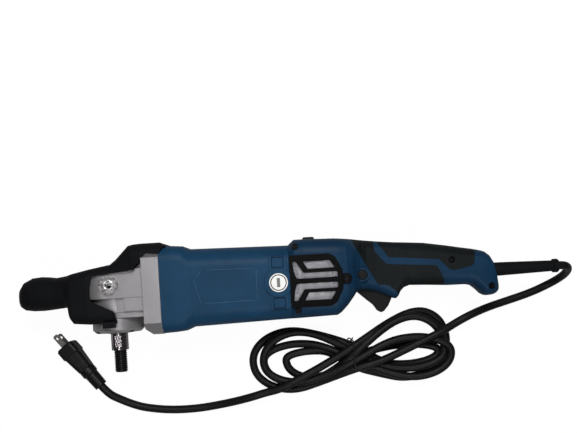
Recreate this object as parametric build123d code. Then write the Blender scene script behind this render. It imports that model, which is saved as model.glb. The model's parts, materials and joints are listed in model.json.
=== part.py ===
from build123d import *
import math
import os

# Rotary polisher lying on its side, in millimetres.
# X runs along the motor axis towards the cord, +Y away from the spindle's tip, +Z up from the floor.
# The model is drawn about the point where motor and spindle axes cross, and written about the middle
# of the spindle's shoulder, where a backing plate seats.

CLEAR = 0.3  # gap between separate bodies and loose covers
RUN = 0.05  # radial clearance of a shaft in its bearing
WALL = 2.6  # plastic housing wall
REST = 44.0  # from the middle plane to the side it lies on

# spindle
SHOULDER = 62.0
THREAD_R = 7.0
THREAD_LENGTH = 24.0
NOSE_R = 9.15
NOSE_FLATS = 17.0
FLATS_START = 46.5
FLATS_LENGTH = 12.0
SPINDLE_R = 7.5
SPINDLE_TOP_R = 6.0
NOSE_START = 38.8
DUST_RING_R = 12.0
DUST_RING_THICK = 2.4

# bevel gears
MODULE = 1.1
RING_TEETH = 41
PINION_TEETH = 10
FACE_WIDTH = 6.5
PRESSURE_ANGLE = math.radians(20)
PROFILE_SHIFT = 0.25
TOOTH_REACH = 0.8
TOOTH_GAP = 0.22
BACKLASH = 0.12
RING_BACK = 12.5
RING_HUB_R = 11.0
RING_HUB_END = 24.0
PINION_HUB_R = 7.6
PINION_HUB_END = 33.0
PINION_BORE_R = 3.5

# gear housing
GEARBOX_FRONT = -30.0
GEARBOX_HALF = 34.0
GEARBOX_TOP = 24.0
GEARBOX_SLOPE = (12.0, 6.0)  # slope of its front edge under the hood, along X and along Y
GEARBOX_CHEEK_R = 30.0
CHEEK_HALF = 29.5
GUSSET_START = 21.0
GUSSET_LOW = -26.0
GUSSET_TOP = 39.0
GUSSET_HALF = 28.0
PAD = (14.8, -20.1)  # raised pad on each side, up to the flange: first x and lowest y
PAD_SINK = 0.6
GEAR_CAVITY_R = 25.0
GEAR_CAVITY_TOP = 7.6
PINION_TUNNEL_R = 11.0
HANDLE_BOSS_Y = 8.2
HANDLE_BOSS_R = 10.0
HANDLE_BOSS_HALF = 37.0
HANDLE_HOLE_R = 3.4
HANDLE_HOLE_DEPTH = 13.0
BUSH_R = 9.0
BUSH_LOW = 8.4
BUSH_LENGTH = 9.5

# bearing box under the gear housing
BOX_R = 27.3
BOX_TOP = 26.7
BOX_BOTTOM = 42.7
BOX_BEVEL = 3.2
SPINDLE_BEARING_R = 17.5
SPINDLE_BEARING_WIDTH = 11.0
SPINDLE_BEARING_TOP = 27.5
BEARING_LOW = SPINDLE_BEARING_TOP + SPINDLE_BEARING_WIDTH
BOX_SCREW_PITCH_R = 22.4
BOX_SCREW_R = 2.0
BOX_SCREW_LENGTH = 22.0
BOX_SCREW_HEAD_R = 3.5
BOX_SCREW_HEAD = 3.0
BOX_SCREW_BITE = BOX_SCREW_LENGTH - (BOX_BOTTOM - BOX_TOP) + 2.0

# spindle lock
LOCK_R = 11.7
LOCK_PIN_R = 2.2
LOCK_HOLE_R = 3.0
LOCK_HOLES = 8
LOCK_HOLE_DEPTH = 5.5
LOCK_TRAVEL = 4.5
LOCK_BUTTON_R = 5.6
LOCK_BUTTON_HEIGHT = 4.4
LOCK_POCKET_DEPTH = 5.2
LOCK_TIP_GAP = 1.0

# flange between gear housing and motor
FLANGE_X = 36.5
FLANGE_LENGTH = 18.0
FLANGE_HEIGHT = 91.6
FLANGE_BEVEL = 12.0
FLANGE_LOW_CUT = (7.0, 6.0)  # slope on its lower front edge, along X and along Y
FLANGE_SCREW_OFFSET = 35.5
FLANGE_SCREW_R = 2.4
FLANGE_SCREW_HEAD_R = 4.4
FLANGE_SCREW_HEAD = 4.0
FLANGE_SCREW_LENGTH = 28.0

# motor
FRONT_BEARING_R = 16.0
FRONT_BEARING_WIDTH = 10.0
FRONT_BEARING_X = 38.0
SHAFT_R = 6.0
REAR_BEARING_R = 11.0
REAR_BEARING_WIDTH = 7.0
REAR_BEARING_X = 190.0
REAR_SHAFT_R = 4.0
FAN_X = 57.0
FAN_LENGTH = 13.0
FAN_R = 35.0
FAN_HUB_R = 10.0
FAN_BLADES = 12
CORE_X = 95.0
CORE_LENGTH = 55.0
CORE_R = 21.5
CORE_SLOTS = 12
STATOR_R = 36.8
STATOR_BORE_R = 22.2
WINDING_R = 18.0
WINDING_REACH = 11.5
COMMUTATOR_X = 167.5
COMMUTATOR_LENGTH = 18.0
COMMUTATOR_R = 14.0
COMMUTATOR_BARS = 24
COIL_OUTER_R = 34.0
COIL_INNER_R = 24.5
COIL_LIMB_R = 4.5
COIL_REACH = 10.0

# motor housing: (x, half height, half thickness, corner radius)
BARREL = [
    (54.5, 45.6, 42.4, 15.0),
    (68.0, 45.1, 42.1, 15.0),
    (78.2, 44.2, 41.6, 16.0),
    (85.4, 41.0, 40.9, 20.0),
    (188.0, 38.7, 39.4, 20.0),
]
BARREL_BORE_R = 37.0
FAN_CHAMBER_R = 38.5
FAN_CHAMBER_END = 80.0
BARREL_BORE_END = 186.0
CUP_WALL_END = 189.6
CUP_R = 14.0
SPIGOT_R = 30.0
LABEL_DEPTH = 0.5
BAFFLE_X = 73.5
BAFFLE_THICK = 2.5

# brushes
BRUSH_X = 176.4
BRUSH_BOSS_R = 14.6
BRUSH_BOSS_HALF = 42.4
BRUSH_STRAP_WIDTH = 18.5
BRUSH_STRAP_HALF = 40.9
BRUSH_STRAP_REACH = 27.5
BRUSH_PAD_WIDTH = 12.4
BRUSH_PAD_START = 15.3
CAP_R = 9.6
CAP_TOP = 43.2
CAP_HEIGHT = 5.0
CAP_SLOT = (3.2, 9.2)
BRUSH_LENGTH = 15.0
HOLDER_WALL = 1.4
BRUSH_WIDTH = 6.3
BRUSH_DEPTH = 10.0
HOLDER_R = math.hypot(BRUSH_WIDTH / 2 + HOLDER_WALL, BRUSH_DEPTH / 2 + HOLDER_WALL) + 0.1

# rear housing: (x, lowest y, highest y, half thickness, corner radius)
SHELL = [
    (188.0, -38.6, 38.6, 39.4, 18.0),
    (194.3, -38.4, 43.9, 42.0, 16.0),
    (204.0, -38.1, 43.8, 43.0, 15.0),
    (236.0, -37.4, 42.8, 43.0, 15.0),
    (240.6, -34.6, 42.4, 42.8, 15.0),
    (247.8, -27.4, 41.7, 41.8, 15.0),
    (253.6, -20.5, 41.2, 37.5, 14.0),
    (258.4, -14.6, 40.8, 31.0, 13.0),
    (262.8, -12.6, 40.3, 26.5, 12.0),
    (269.6, -12.9, 39.5, 23.0, 11.5),
    (280.0, -15.2, 38.2, 21.4, 11.0),
    (290.0, -19.6, 37.0, 20.6, 10.5),
    (297.0, -23.8, 36.3, 20.2, 10.5),
    (300.6, -24.4, 35.9, 20.0, 10.5),
    (303.4, -21.6, 35.7, 19.9, 10.5),
    (305.6, -17.2, 35.5, 19.8, 10.5),
    (309.6, -13.3, 35.3, 19.7, 11.5),
    (316.0, -11.1, 34.9, 19.5, 13.0),
    (333.5, -12.0, 33.5, 19.3, 14.0),
    (357.0, -13.7, 29.4, 19.0, 14.0),
    (378.0, -13.9, 25.2, 18.6, 13.0),
    (384.2, -15.3, 24.1, 18.4, 12.5),
    (389.4, -19.5, 22.9, 18.2, 12.0),
    (394.8, -25.1, 21.5, 18.0, 11.5),
    (398.6, -27.1, 20.0, 17.6, 11.0),
    (403.4, -26.8, 16.1, 16.6, 10.5),
    (407.0, -26.0, 9.9, 15.2, 9.5),
    (409.6, -24.6, -0.6, 13.2, 8.0),
    (411.4, -22.6, -12.0, 10.0, 4.5),
]
CAVITY_FIRST = 1
CAVITY_LAST = 25
POST_R = 4.2
SCREW_R = 1.7
SCREW_HEAD_R = 3.3
SCREW_HEAD = 2.2
# (x, y, height of the screw's head above the middle plane)
HOUSING_SCREWS = [
    (195.2, 36.0, 35.6),
    (195.2, -30.0, 37.4),
    (266.2, 31.0, 19.6),
    (360.6, 13.4, 16.8),
    (402.2, -17.0, 14.4),
]
GRIP_DEPTH = 1.4

# side grilles
GRILLE_TOP = REST
GRILLE_THICK = 3.4
GRILLE_RIM = 4.6
MESH_THICK = 1.2
GRILLE_SCREW_X = 246.6
GRILLE_SCREW_R = 1.6
GRILLE_TAB_R = 5.4

# trigger, switch and lock-on button
TRIGGER_HALF = 8.6
TRIGGER_SLOT_HALF = 9.2
TRIGGER_PIVOT = (262.0, -8.6)
TRIGGER_PIN_R = 1.5
TRIGGER_SLOT = (257.6, 298.2)
LOCK_ON_X = 264.6
LOCK_ON_Y = 3.0
LOCK_ON_R = 5.0
LOCK_ON_TOP = 29.4
LOCK_ON_HEIGHT = 5.0
LOCK_ON_BOSS_R = 7.2
LOCK_ON_BOSS_TOP = 27.6
LOCK_ON_TRAVEL = 2.5

# speed dial
DIAL_X = 204.4
DIAL_WIDTH = 12.6
DIAL_R = 9.0
DIAL_Y = 38.6
DIAL_SHAFT = (200.0, 220.0)
DIAL_SHAFT_R = 2.0
DIAL_SUPPORTS = ((201.4, 203.6), (218.2, 219.6))

# cord, cord guard and plug
CORD_R = 4.5
CORD_Y = 0.3
GUARD_COLLAR_X = 401.5
GUARD_COLLAR_LENGTH = 4.0
COLLAR_END = GUARD_COLLAR_X + GUARD_COLLAR_LENGTH
GUARD_COLLAR_R = 9.6
GUARD_ROOT_R = 7.35
GUARD_TIP_R = 5.9
GUARD_BEAD_R = 7.4
GUARD_BEAD_LENGTH = 7.0
GUARD_END = 480.0
CLAMP_X = 383.0
CLAMP_LENGTH = 10.0
LEAD_START = 372.0
PLUG_HALF = 12.0
PLUG_LENGTH = 60.3
PLUG_RELIEF_LENGTH = 17.0
PLUG_RING_R = 9.0
PLUG_RING_LENGTH = 9.4
BLADE_THICK = 1.5
BLADE_WIDTH = 6.3
BLADE_GAP = 12.7
BLADE_LENGTH = 15.9


# ---------------------------------------------------------------- shared shapes
def along_x(radius, x0, x1, y=0.0, z=0.0):
    """A round bar parallel to the motor axis."""
    return Pos((x0 + x1) / 2, y, z) * Rot(0, 90, 0) * Cylinder(radius, abs(x1 - x0))


def along_y(radius, y0, y1, x=0.0, z=0.0):
    """A round bar parallel to the spindle axis."""
    return Pos(x, (y0 + y1) / 2, z) * Rot(90, 0, 0) * Cylinder(radius, abs(y1 - y0))


def along_z(radius, z0, z1, x=0.0, y=0.0):
    """A round bar across the tool."""
    return Pos(x, y, (z0 + z1) / 2) * Cylinder(radius, abs(z1 - z0))


def block(x0, x1, y0, y1, z0, z1):
    """A box between two corners."""
    middle = Pos((x0 + x1) / 2, (y0 + y1) / 2, (z0 + z1) / 2)
    return middle * Box(abs(x1 - x0), abs(y1 - y0), abs(z1 - z0))


def prism(points, z0, z1, rounding=0.0):
    """An outline in the middle plane, extruded across the tool."""
    outline = make_face(Polyline(*points, close=True))
    if rounding:
        outline = fillet(outline.vertices(), rounding)
    return Pos(0, 0, z0) * extrude(outline, z1 - z0, dir=(0, 0, 1))


def section(x, low, high, half, corner):
    """A rounded rectangle across the motor axis."""
    plane = Plane(origin=(x, (low + high) / 2, 0), x_dir=(0, 1, 0), z_dir=(1, 0, 0))
    return plane * RectangleRounded(high - low, 2 * half, corner)


def skin(rows, inset=0.0):
    """A body through rounded sections along the motor axis, drawn in by an inset."""
    faces = [
        section(x, low + inset, high - inset, half - inset, max(corner - inset, 1.0))
        for x, low, high, half, corner in rows
    ]
    return loft(faces, ruled=True)


def mirrored(shape):
    """The same shape on the other side of the middle plane."""
    return mirror(shape, about=Plane.XY)


def both_sides(shape):
    return shape + mirrored(shape)


def coil_spring(radius, wire, length, turns):
    """A compression spring standing on the plane z = 0."""
    path = Edge.make_helix(pitch=(length - wire) / turns, height=length - wire, radius=radius)
    profile = Plane(origin=path @ 0, z_dir=path % 0) * Circle(wire / 2)
    return Pos(0, 0, wire / 2) * sweep(profile, path=Wire(path))


def keep_side(shape, side):
    """The half of a shape above (1) or below (-1) the middle plane."""
    reach = 600
    return shape & block(-reach, reach, -reach, reach, 0, side * reach)


nodes = {}


# ---------------------------------------------------------------- bevel gears
def tooth_profile(teeth, pitch_angle, shift):
    """Half width of a tooth at heights over the pitch cone, on the back cone: [(height, half width)]."""
    pitch_r = MODULE * teeth / 2 / math.cos(pitch_angle)
    base_r = pitch_r * math.cos(PRESSURE_ANGLE)
    thick = MODULE * (math.pi / 2 + 2 * shift * math.tan(PRESSURE_ANGLE)) - BACKLASH
    half_at_pitch = thick / 2 / pitch_r + math.tan(PRESSURE_ANGLE) - PRESSURE_ANGLE
    root = -MODULE * (TOOTH_REACH + TOOTH_GAP - shift)
    tip = MODULE * (TOOTH_REACH + shift)
    rows = []
    for step in range(6):
        height = root + (tip - root) * step / 5
        radius = pitch_r + height
        turn = math.acos(min(1.0, base_r / radius))
        half = half_at_pitch - (math.tan(turn) - turn)
        rows.append((radius * math.cos(half) - pitch_r, radius * math.sin(half)))
    return rows


def bevel_teeth(teeth, mate, shift, root_sink):
    """Straight teeth of a bevel gear about +Z with its apex at the origin, and its root line."""
    pitch_angle = math.atan2(teeth, mate)
    cone = MODULE * math.hypot(teeth, mate) / 2
    rows = tooth_profile(teeth, pitch_angle, shift)
    lowest, widest = rows[0]
    rows = [(lowest - root_sink, widest)] + rows
    out = Vector(math.sin(pitch_angle), 0, math.cos(pitch_angle))
    up = Vector(math.cos(pitch_angle), 0, -math.sin(pitch_angle))
    across = Vector(0, 1, 0)

    def end(distance):
        scale = distance / cone
        right = [out * distance + up * (h * scale) + across * (w * scale) for h, w in rows]
        left = [out * distance + up * (h * scale) - across * (w * scale) for h, w in rows]
        return make_face(Polyline(*(right + left[::-1]), close=True))

    tooth = loft([end(cone - FACE_WIDTH), end(cone)], ruled=True)
    return [Rot(0, 0, 360 * n / teeth) * tooth for n in range(teeth)], pitch_angle, cone, lowest


def cone_point(pitch_angle, cone, distance, height):
    """Radius and axial place of a point at a height over the pitch cone."""
    rise = height * distance / cone
    radius = distance * math.sin(pitch_angle) + rise * math.cos(pitch_angle)
    return radius, distance * math.cos(pitch_angle) - rise * math.sin(pitch_angle)


def make_ring_gear():
    teeth, angle, cone, root = bevel_teeth(RING_TEETH, PINION_TEETH, -PROFILE_SHIFT, 0.5)
    toe = cone_point(angle, cone, cone - FACE_WIDTH - 0.6, root)
    heel = cone_point(angle, cone, cone, root)
    outline = Polyline(
        (SPINDLE_R, toe[1]),
        toe,
        heel,
        (heel[0] + 0.3, RING_BACK),
        (RING_HUB_R, RING_BACK + 1.0),
        (RING_HUB_R, RING_HUB_END),
        (SPINDLE_R, RING_HUB_END),
        close=True,
    )
    body = revolve(Plane.XZ * make_face(outline), axis=Axis.Z)
    gear = body + teeth
    for n in range(LOCK_HOLES):
        hole = Pos(LOCK_R, 0, toe[1] + LOCK_HOLE_DEPTH / 2) * Cylinder(LOCK_HOLE_R, LOCK_HOLE_DEPTH)
        gear -= Rot(0, 0, 360 * n / LOCK_HOLES) * hole
    return Rot(90, 0, 0) * gear, toe[1]


def make_pinion():
    teeth, angle, cone, root = bevel_teeth(PINION_TEETH, RING_TEETH, PROFILE_SHIFT, 0.4)
    toe = cone_point(angle, cone, cone - FACE_WIDTH, root)
    heel = cone_point(angle, cone, cone, root)
    outline = Polyline(
        (0, toe[1]),
        toe,
        heel,
        (PINION_HUB_R, heel[1] + 0.8),
        (PINION_HUB_R, PINION_HUB_END),
        (0, PINION_HUB_END),
        close=True,
    )
    body = revolve(Plane.XZ * make_face(outline), axis=Axis.Z)
    start = heel[1] + 2.0
    bore = Pos(0, 0, (start + PINION_HUB_END) / 2) * Cylinder(PINION_BORE_R, PINION_HUB_END - start)
    gear = Rot(0, 90, 0) * (body + teeth - bore)
    # a gap, not a tooth, faces the ring gear at rest
    return Rot(180.0 / PINION_TEETH, 0, 0) * (Rot(90, 0, 0) * gear), start


nodes["ring_gear"], RING_WEB = make_ring_gear()
nodes["pinion"], PINION_BORE_START = make_pinion()


# ---------------------------------------------------------------- gear head
def flats(shape, width, y0, y1):
    """Two wrench flats cut on a bar along Y."""
    reach = 40
    for side in (1, -1):
        shape -= block(-reach, reach, y0, y1, side * width / 2, side * reach)
    return shape


def make_spindle():
    top = BUSH_LOW + BUSH_LENGTH - 0.5
    bar = along_y(SPINDLE_TOP_R, RING_TOP, top) + along_y(SPINDLE_R, -NOSE_START, RING_TOP)
    nose = flats(
        along_y(NOSE_R, -SHOULDER, -NOSE_START),
        NOSE_FLATS,
        -FLATS_START - FLATS_LENGTH,
        -FLATS_START,
    )
    thread = along_y(THREAD_R, -SHOULDER - THREAD_LENGTH, -SHOULDER)
    tip = faces_at(thread, Axis.Y, -SHOULDER - THREAD_LENGTH)
    thread = chamfer(tip.edges(), 1.0)
    return bar + nose + thread


def faces_at(shape, axis, place):
    """The face of a shape that lies across an axis at a place along it."""
    found = [f for f in shape.faces() if abs(f.center().dot(axis.direction) - place) < 0.01]
    return found[0]


RING_TOP = -RING_WEB


def lock_place(shape):
    """A shape about the Y axis moved to the spindle lock."""
    return Pos(-LOCK_R, 0, 0) * shape


def gearbox_outer(grow=0.0):
    """The outside of the gear housing, grown by a gap for what covers it."""
    half = GEARBOX_HALF + grow
    plan_front = RectangleRounded(2 * (-GEARBOX_FRONT) + 2 * grow, 2 * half, 22)
    upper_plan = Plane.XZ * plan_front + Plane.XZ * Pos(FLANGE_X / 2, 0) * Rectangle(FLANGE_X, 2 * half)
    upper = Pos(0, GEARBOX_TOP + grow, 0) * extrude(upper_plan, 30 + grow, dir=(0, -1, 0))
    run, drop = GEARBOX_SLOPE
    shift = grow * math.hypot(run, drop) / run
    low, high = GEARBOX_TOP - drop * (1 + 2 / run) + shift, GEARBOX_TOP + drop * 2 / run + shift
    x0, x1 = GEARBOX_FRONT - 2, GEARBOX_FRONT + run + 2
    upper -= prism([(x0, low), (x1, high), (x0, high)], -60, 60)
    cheek = along_y(GEARBOX_CHEEK_R + grow, -21.0 - grow, 0)
    cheek += block(0, FLANGE_X, -21.0 - grow, 0, -CHEEK_HALF - grow, CHEEK_HALF + grow)
    band = along_y(BOX_R + 1.3 + grow, -BOX_TOP, -20)
    band += block(0, FLANGE_X, -BOX_TOP, -20, -CHEEK_HALF + 1.2 - grow, CHEEK_HALF - 1.2 + grow)
    gusset = loft(
        [
            section(GUSSET_START, GUSSET_LOW - grow, GEARBOX_TOP - 1 + grow, GUSSET_HALF + grow, 6),
            section(FLANGE_X, GUSSET_LOW - grow, GUSSET_TOP + grow, GUSSET_HALF + grow, 6),
        ],
        ruled=True,
    )
    return upper + cheek + band + gusset


def make_gear_housing():
    body = gearbox_outer()
    for side in (1, -1):
        pad_top = side * (GEARBOX_HALF - PAD_SINK)
        body += block(PAD[0], FLANGE_X, PAD[1], -4, side * 20, pad_top)
        body += along_z(HANDLE_BOSS_R, side * 20, side * HANDLE_BOSS_HALF, 0, HANDLE_BOSS_Y)
    body -= along_y(GEAR_CAVITY_R, -BOX_TOP - 1, GEAR_CAVITY_TOP)
    body -= along_x(PINION_TUNNEL_R, 8, FLANGE_X + 1)
    body -= along_y(BUSH_R, GEAR_CAVITY_TOP - 1, BUSH_LOW + BUSH_LENGTH)
    body -= lock_place(along_y(LOCK_PIN_R + RUN * 2, GEAR_CAVITY_TOP - 1, GEARBOX_TOP))
    pocket = GEARBOX_TOP - LOCK_POCKET_DEPTH
    body -= lock_place(along_y(LOCK_BUTTON_R + CLEAR, pocket, GEARBOX_TOP + 1))
    for side in (1, -1):
        deep = side * (HANDLE_BOSS_HALF - HANDLE_HOLE_DEPTH)
        body -= along_z(HANDLE_HOLE_R, deep, side * (HANDLE_BOSS_HALF + 1), 0, HANDLE_BOSS_Y)
    for x, z in box_screw_places():
        body -= along_y(BOX_SCREW_R, -BOX_TOP - 1, -BOX_TOP + BOX_SCREW_BITE, x, z)
    return body - along_y(BOX_R + CLEAR, -60, -BOX_TOP)


def box_screw_places():
    """Where the four bearing box screws stand, as (x, z)."""
    return [
        (BOX_SCREW_PITCH_R * math.cos(a), BOX_SCREW_PITCH_R * math.sin(a))
        for a in (math.pi / 4 + n * math.pi / 2 for n in range(4))
    ]


def make_bearing_box():
    box = along_y(BOX_R, -BOX_BOTTOM, -BOX_TOP)
    box = chamfer(faces_at(box, Axis.Y, -BOX_BOTTOM).edges(), BOX_BEVEL)
    box -= along_y(SPINDLE_BEARING_R, -BEARING_LOW, -BOX_TOP + 1)
    box -= along_y(DUST_RING_R + CLEAR, -BOX_BOTTOM - 1, -BEARING_LOW + 1)
    for x, z in box_screw_places():
        box -= along_y(BOX_SCREW_R, -BOX_BOTTOM - 1, -BOX_TOP + 1, x, z)
        sunk = -BOX_BOTTOM + BOX_SCREW_HEAD
        box -= along_y(BOX_SCREW_HEAD_R + 0.1, -BOX_BOTTOM - 1, sunk, x, z)
    return box


def socket_screw(length, radius, head, head_r, bite):
    """A screw along +Z whose head stands below z = 0 and has a cross recess."""
    screw = Pos(0, 0, length / 2) * Cylinder(radius, length)
    screw += Pos(0, 0, -head / 2) * Cylinder(head_r, head)
    for turn in (0, 90):
        slot = Box(head_r * 1.1, head_r * 0.28, bite)
        screw -= Rot(0, 0, turn) * Pos(0, 0, -head + bite / 2) * slot
    return screw


def make_box_screws():
    screws = []
    for x, z in box_screw_places():
        screw = socket_screw(
            BOX_SCREW_LENGTH - BOX_SCREW_HEAD, BOX_SCREW_R, BOX_SCREW_HEAD, BOX_SCREW_HEAD_R, 1.8
        )
        screws.append(Pos(x, -BOX_BOTTOM + BOX_SCREW_HEAD, z) * Rot(-90, 0, 0) * screw)
    return Compound(screws)


def ring(outer, inner, width):
    """A plain ring about Z standing on z = 0."""
    return Pos(0, 0, width / 2) * (Cylinder(outer, width) - Cylinder(inner, width + 1))


def ball_bearing(outer, inner, width):
    """A sealed ball bearing about Z standing on z = 0, with a groove on each face."""
    middle = (outer + inner) / 2
    groove = (outer - inner) * 0.18
    race = ring(outer, inner, width)
    for base in (0, width - 0.5):
        race -= Pos(0, 0, base) * ring(middle + groove, middle - groove, 0.5)
    return race


def face_y(shape, y):
    """A shape standing on z = 0, turned to grow towards -Y from y."""
    return Pos(0, y, 0) * Rot(90, 0, 0) * shape


def face_x(shape, x):
    """A shape standing on z = 0, turned to grow towards +X from x."""
    return Pos(x, 0, 0) * Rot(0, 90, 0) * shape


nodes["spindle"] = make_spindle()
nodes["gear_housing"] = make_gear_housing()
nodes["bearing_box"] = make_bearing_box()
nodes["bearing_box_screws"] = make_box_screws()
nodes["spindle_bearing"] = face_y(
    ball_bearing(SPINDLE_BEARING_R, SPINDLE_R + RUN, SPINDLE_BEARING_WIDTH), -SPINDLE_BEARING_TOP
)
nodes["spindle_bush"] = face_y(ring(BUSH_R, SPINDLE_TOP_R + RUN, BUSH_LENGTH), BUSH_LOW + BUSH_LENGTH)
nodes["spindle_circlip"] = face_y(ring(SPINDLE_R + 2.6, SPINDLE_R, 1.2), -RING_HUB_END - 1.0)
nodes["dust_ring"] = face_y(ring(DUST_RING_R, NOSE_R, DUST_RING_THICK), -BOX_BOTTOM + 1.2)


def make_lock_button():
    bottom = GEARBOX_TOP + 0.6
    button = along_y(LOCK_BUTTON_R, bottom, bottom + LOCK_BUTTON_HEIGHT)
    button = fillet(faces_at(button, Axis.Y, bottom + LOCK_BUTTON_HEIGHT).edges(), 1.0)
    return lock_place(button)


nodes["spindle_lock_button"] = make_lock_button()
nodes["spindle_lock_pin"] = lock_place(along_y(LOCK_PIN_R, RING_TOP + LOCK_TIP_GAP, GEARBOX_TOP + 0.6))
nodes["spindle_lock_spring"] = lock_place(
    face_y(
        coil_spring(LOCK_PIN_R + 1.4, 0.8, LOCK_POCKET_DEPTH + 0.2, 3), GEARBOX_TOP + 0.4
    )
)


# ---------------------------------------------------------------- flange and motor
FLANGE_END = FLANGE_X + FLANGE_LENGTH


def flange_outline(grow=0.0):
    """The flange's cross section: a square with bevelled corners."""
    plane = Plane(origin=(FLANGE_X, 0, 0), x_dir=(0, 1, 0), z_dir=(1, 0, 0))
    square = Rectangle(FLANGE_HEIGHT + 2 * grow, 2 * REST + 2 * grow)
    return plane * chamfer(square.vertices(), FLANGE_BEVEL + 0.6 * grow)


def flange_screw_places():
    """Where the four flange screws stand, as (y, z)."""
    return [(y * FLANGE_SCREW_OFFSET, z * (FLANGE_SCREW_OFFSET - 2)) for y in (1, -1) for z in (1, -1)]


def make_flange():
    body = extrude(flange_outline(), FLANGE_LENGTH, dir=(1, 0, 0))
    low, (run, rise) = -FLANGE_HEIGHT / 2, FLANGE_LOW_CUT
    body -= prism([(FLANGE_X, low + rise), (FLANGE_X, low), (FLANGE_X + run, low)], -60, 60)
    body -= along_x(PINION_TUNNEL_R, FLANGE_X - 1, FRONT_BEARING_X)
    body -= along_x(FRONT_BEARING_R, FRONT_BEARING_X, FRONT_BEARING_X + FRONT_BEARING_WIDTH)
    body -= along_x(FAN_CHAMBER_R, FRONT_BEARING_X + FRONT_BEARING_WIDTH, FLANGE_END + 1)
    for y, z in flange_screw_places():
        body -= along_x(FLANGE_SCREW_R, FLANGE_X - 1, FLANGE_END + 1, y, z)
        sunk = FLANGE_X + FLANGE_SCREW_HEAD
        body -= along_x(FLANGE_SCREW_HEAD_R + 0.1, FLANGE_X - 1, sunk, y, z)
    return body


def make_flange_screws():
    screws = []
    for y, z in flange_screw_places():
        screw = socket_screw(
            FLANGE_SCREW_LENGTH - FLANGE_SCREW_HEAD,
            FLANGE_SCREW_R,
            FLANGE_SCREW_HEAD,
            FLANGE_SCREW_HEAD_R,
            2.4,
        )
        screws.append(Pos(FLANGE_X + FLANGE_SCREW_HEAD, y, z) * Rot(0, 90, 0) * screw)
    return Compound(screws)


LABEL = [(89.6, 8.6), (97.2, 17.4), (154.0, 16.2), (153.6, -16.4), (95.6, -16.8)]


def brush_boss(grow=0.0):
    """The round boss over each brush, on both sides."""
    return along_z(BRUSH_BOSS_R + grow, -BRUSH_BOSS_HALF - grow, BRUSH_BOSS_HALF + grow, BRUSH_X)


def make_motor_housing():
    body = skin([(x, -h, h, half, corner) for x, h, half, corner in BARREL])
    strap = block(
        BRUSH_X - BRUSH_STRAP_WIDTH / 2,
        BRUSH_X + BRUSH_STRAP_WIDTH / 2,
        -BRUSH_STRAP_REACH,
        BRUSH_STRAP_REACH,
        -BRUSH_STRAP_HALF,
        BRUSH_STRAP_HALF,
    )
    body += strap + brush_boss()
    spigot = along_x(SPIGOT_R, BARREL_BORE_END, CUP_WALL_END)
    cup_end = REAR_BEARING_X + REAR_BEARING_WIDTH + 1.0
    body += spigot + along_x(CUP_R, BARREL_BORE_END, cup_end)
    for side in (1, -1):
        for end in (1, -1):
            pad_y = end * (BRUSH_PAD_START + 20)
            body -= Pos(BRUSH_X, pad_y, side * (BRUSH_STRAP_HALF + 4)) * Box(BRUSH_PAD_WIDTH, 40, 10)
        label = prism(LABEL, side * 39.0, side * 60.0)
        body -= label & (body - skin([(x, -h, h, t - LABEL_DEPTH, c) for x, h, t, c in BARREL]))
    body -= along_x(FAN_CHAMBER_R, FLANGE_END - 1, FAN_CHAMBER_END)
    body -= along_x(BARREL_BORE_R, FAN_CHAMBER_END - 1, CORE_X + CORE_LENGTH + 14)
    body -= along_x(BARREL_BORE_R - 2, CORE_X + CORE_LENGTH, BARREL_BORE_END)
    body -= along_x(REAR_BEARING_R, REAR_BEARING_X, cup_end + 1)
    body -= along_x(SHAFT_R + 1.5, BARREL_BORE_END - 1, cup_end)
    body -= along_z(HOLDER_R, -60, 60, BRUSH_X)
    cap_floor = CAP_TOP - CAP_HEIGHT
    for side in (1, -1):
        body -= along_z(CAP_R + 0.1, side * cap_floor, side * 60, BRUSH_X)
    for n in range(6):
        turn = math.radians(30 + 60 * n)
        y, z = 22.5 * math.cos(turn), 22.5 * math.sin(turn)
        body -= along_x(5.0, BARREL_BORE_END - 1, CUP_WALL_END + 1, y, z)
    for y, z in flange_screw_places():
        body -= along_x(FLANGE_SCREW_R, FLANGE_END - 1, FLANGE_X + FLANGE_SCREW_LENGTH + 1, y, z)
    for x, y, top in HOUSING_SCREWS[:2]:
        body -= along_z(POST_R + CLEAR, -60, 60, x, y)
    return body



def make_armature_shaft():
    shaft = along_x(PINION_BORE_R, PINION_BORE_START, PINION_HUB_END)
    shaft += along_x(SHAFT_R, PINION_HUB_END, REAR_BEARING_X - 2)
    return shaft + along_x(REAR_SHAFT_R, REAR_BEARING_X - 2, REAR_BEARING_X + REAR_BEARING_WIDTH)


def make_core():
    core = along_x(CORE_R, CORE_X, CORE_X + CORE_LENGTH)
    core -= along_x(SHAFT_R, CORE_X - 1, CORE_X + CORE_LENGTH + 1)
    for n in range(CORE_SLOTS):
        turn = 2 * math.pi * n / CORE_SLOTS
        y, z = (CORE_R - 0.6) * math.cos(turn), (CORE_R - 0.6) * math.sin(turn)
        core -= along_x(1.5, CORE_X - 1, CORE_X + CORE_LENGTH + 1, y, z)
    return core


def winding_head(x0, x1):
    """One end of the armature winding, a rounded ring on the shaft."""
    head = along_x(WINDING_R, x0, x1)
    head = fillet(head.edges().filter_by(GeomType.CIRCLE), 3.5)
    return head - along_x(SHAFT_R, x0 - 1, x1 + 1)


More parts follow.
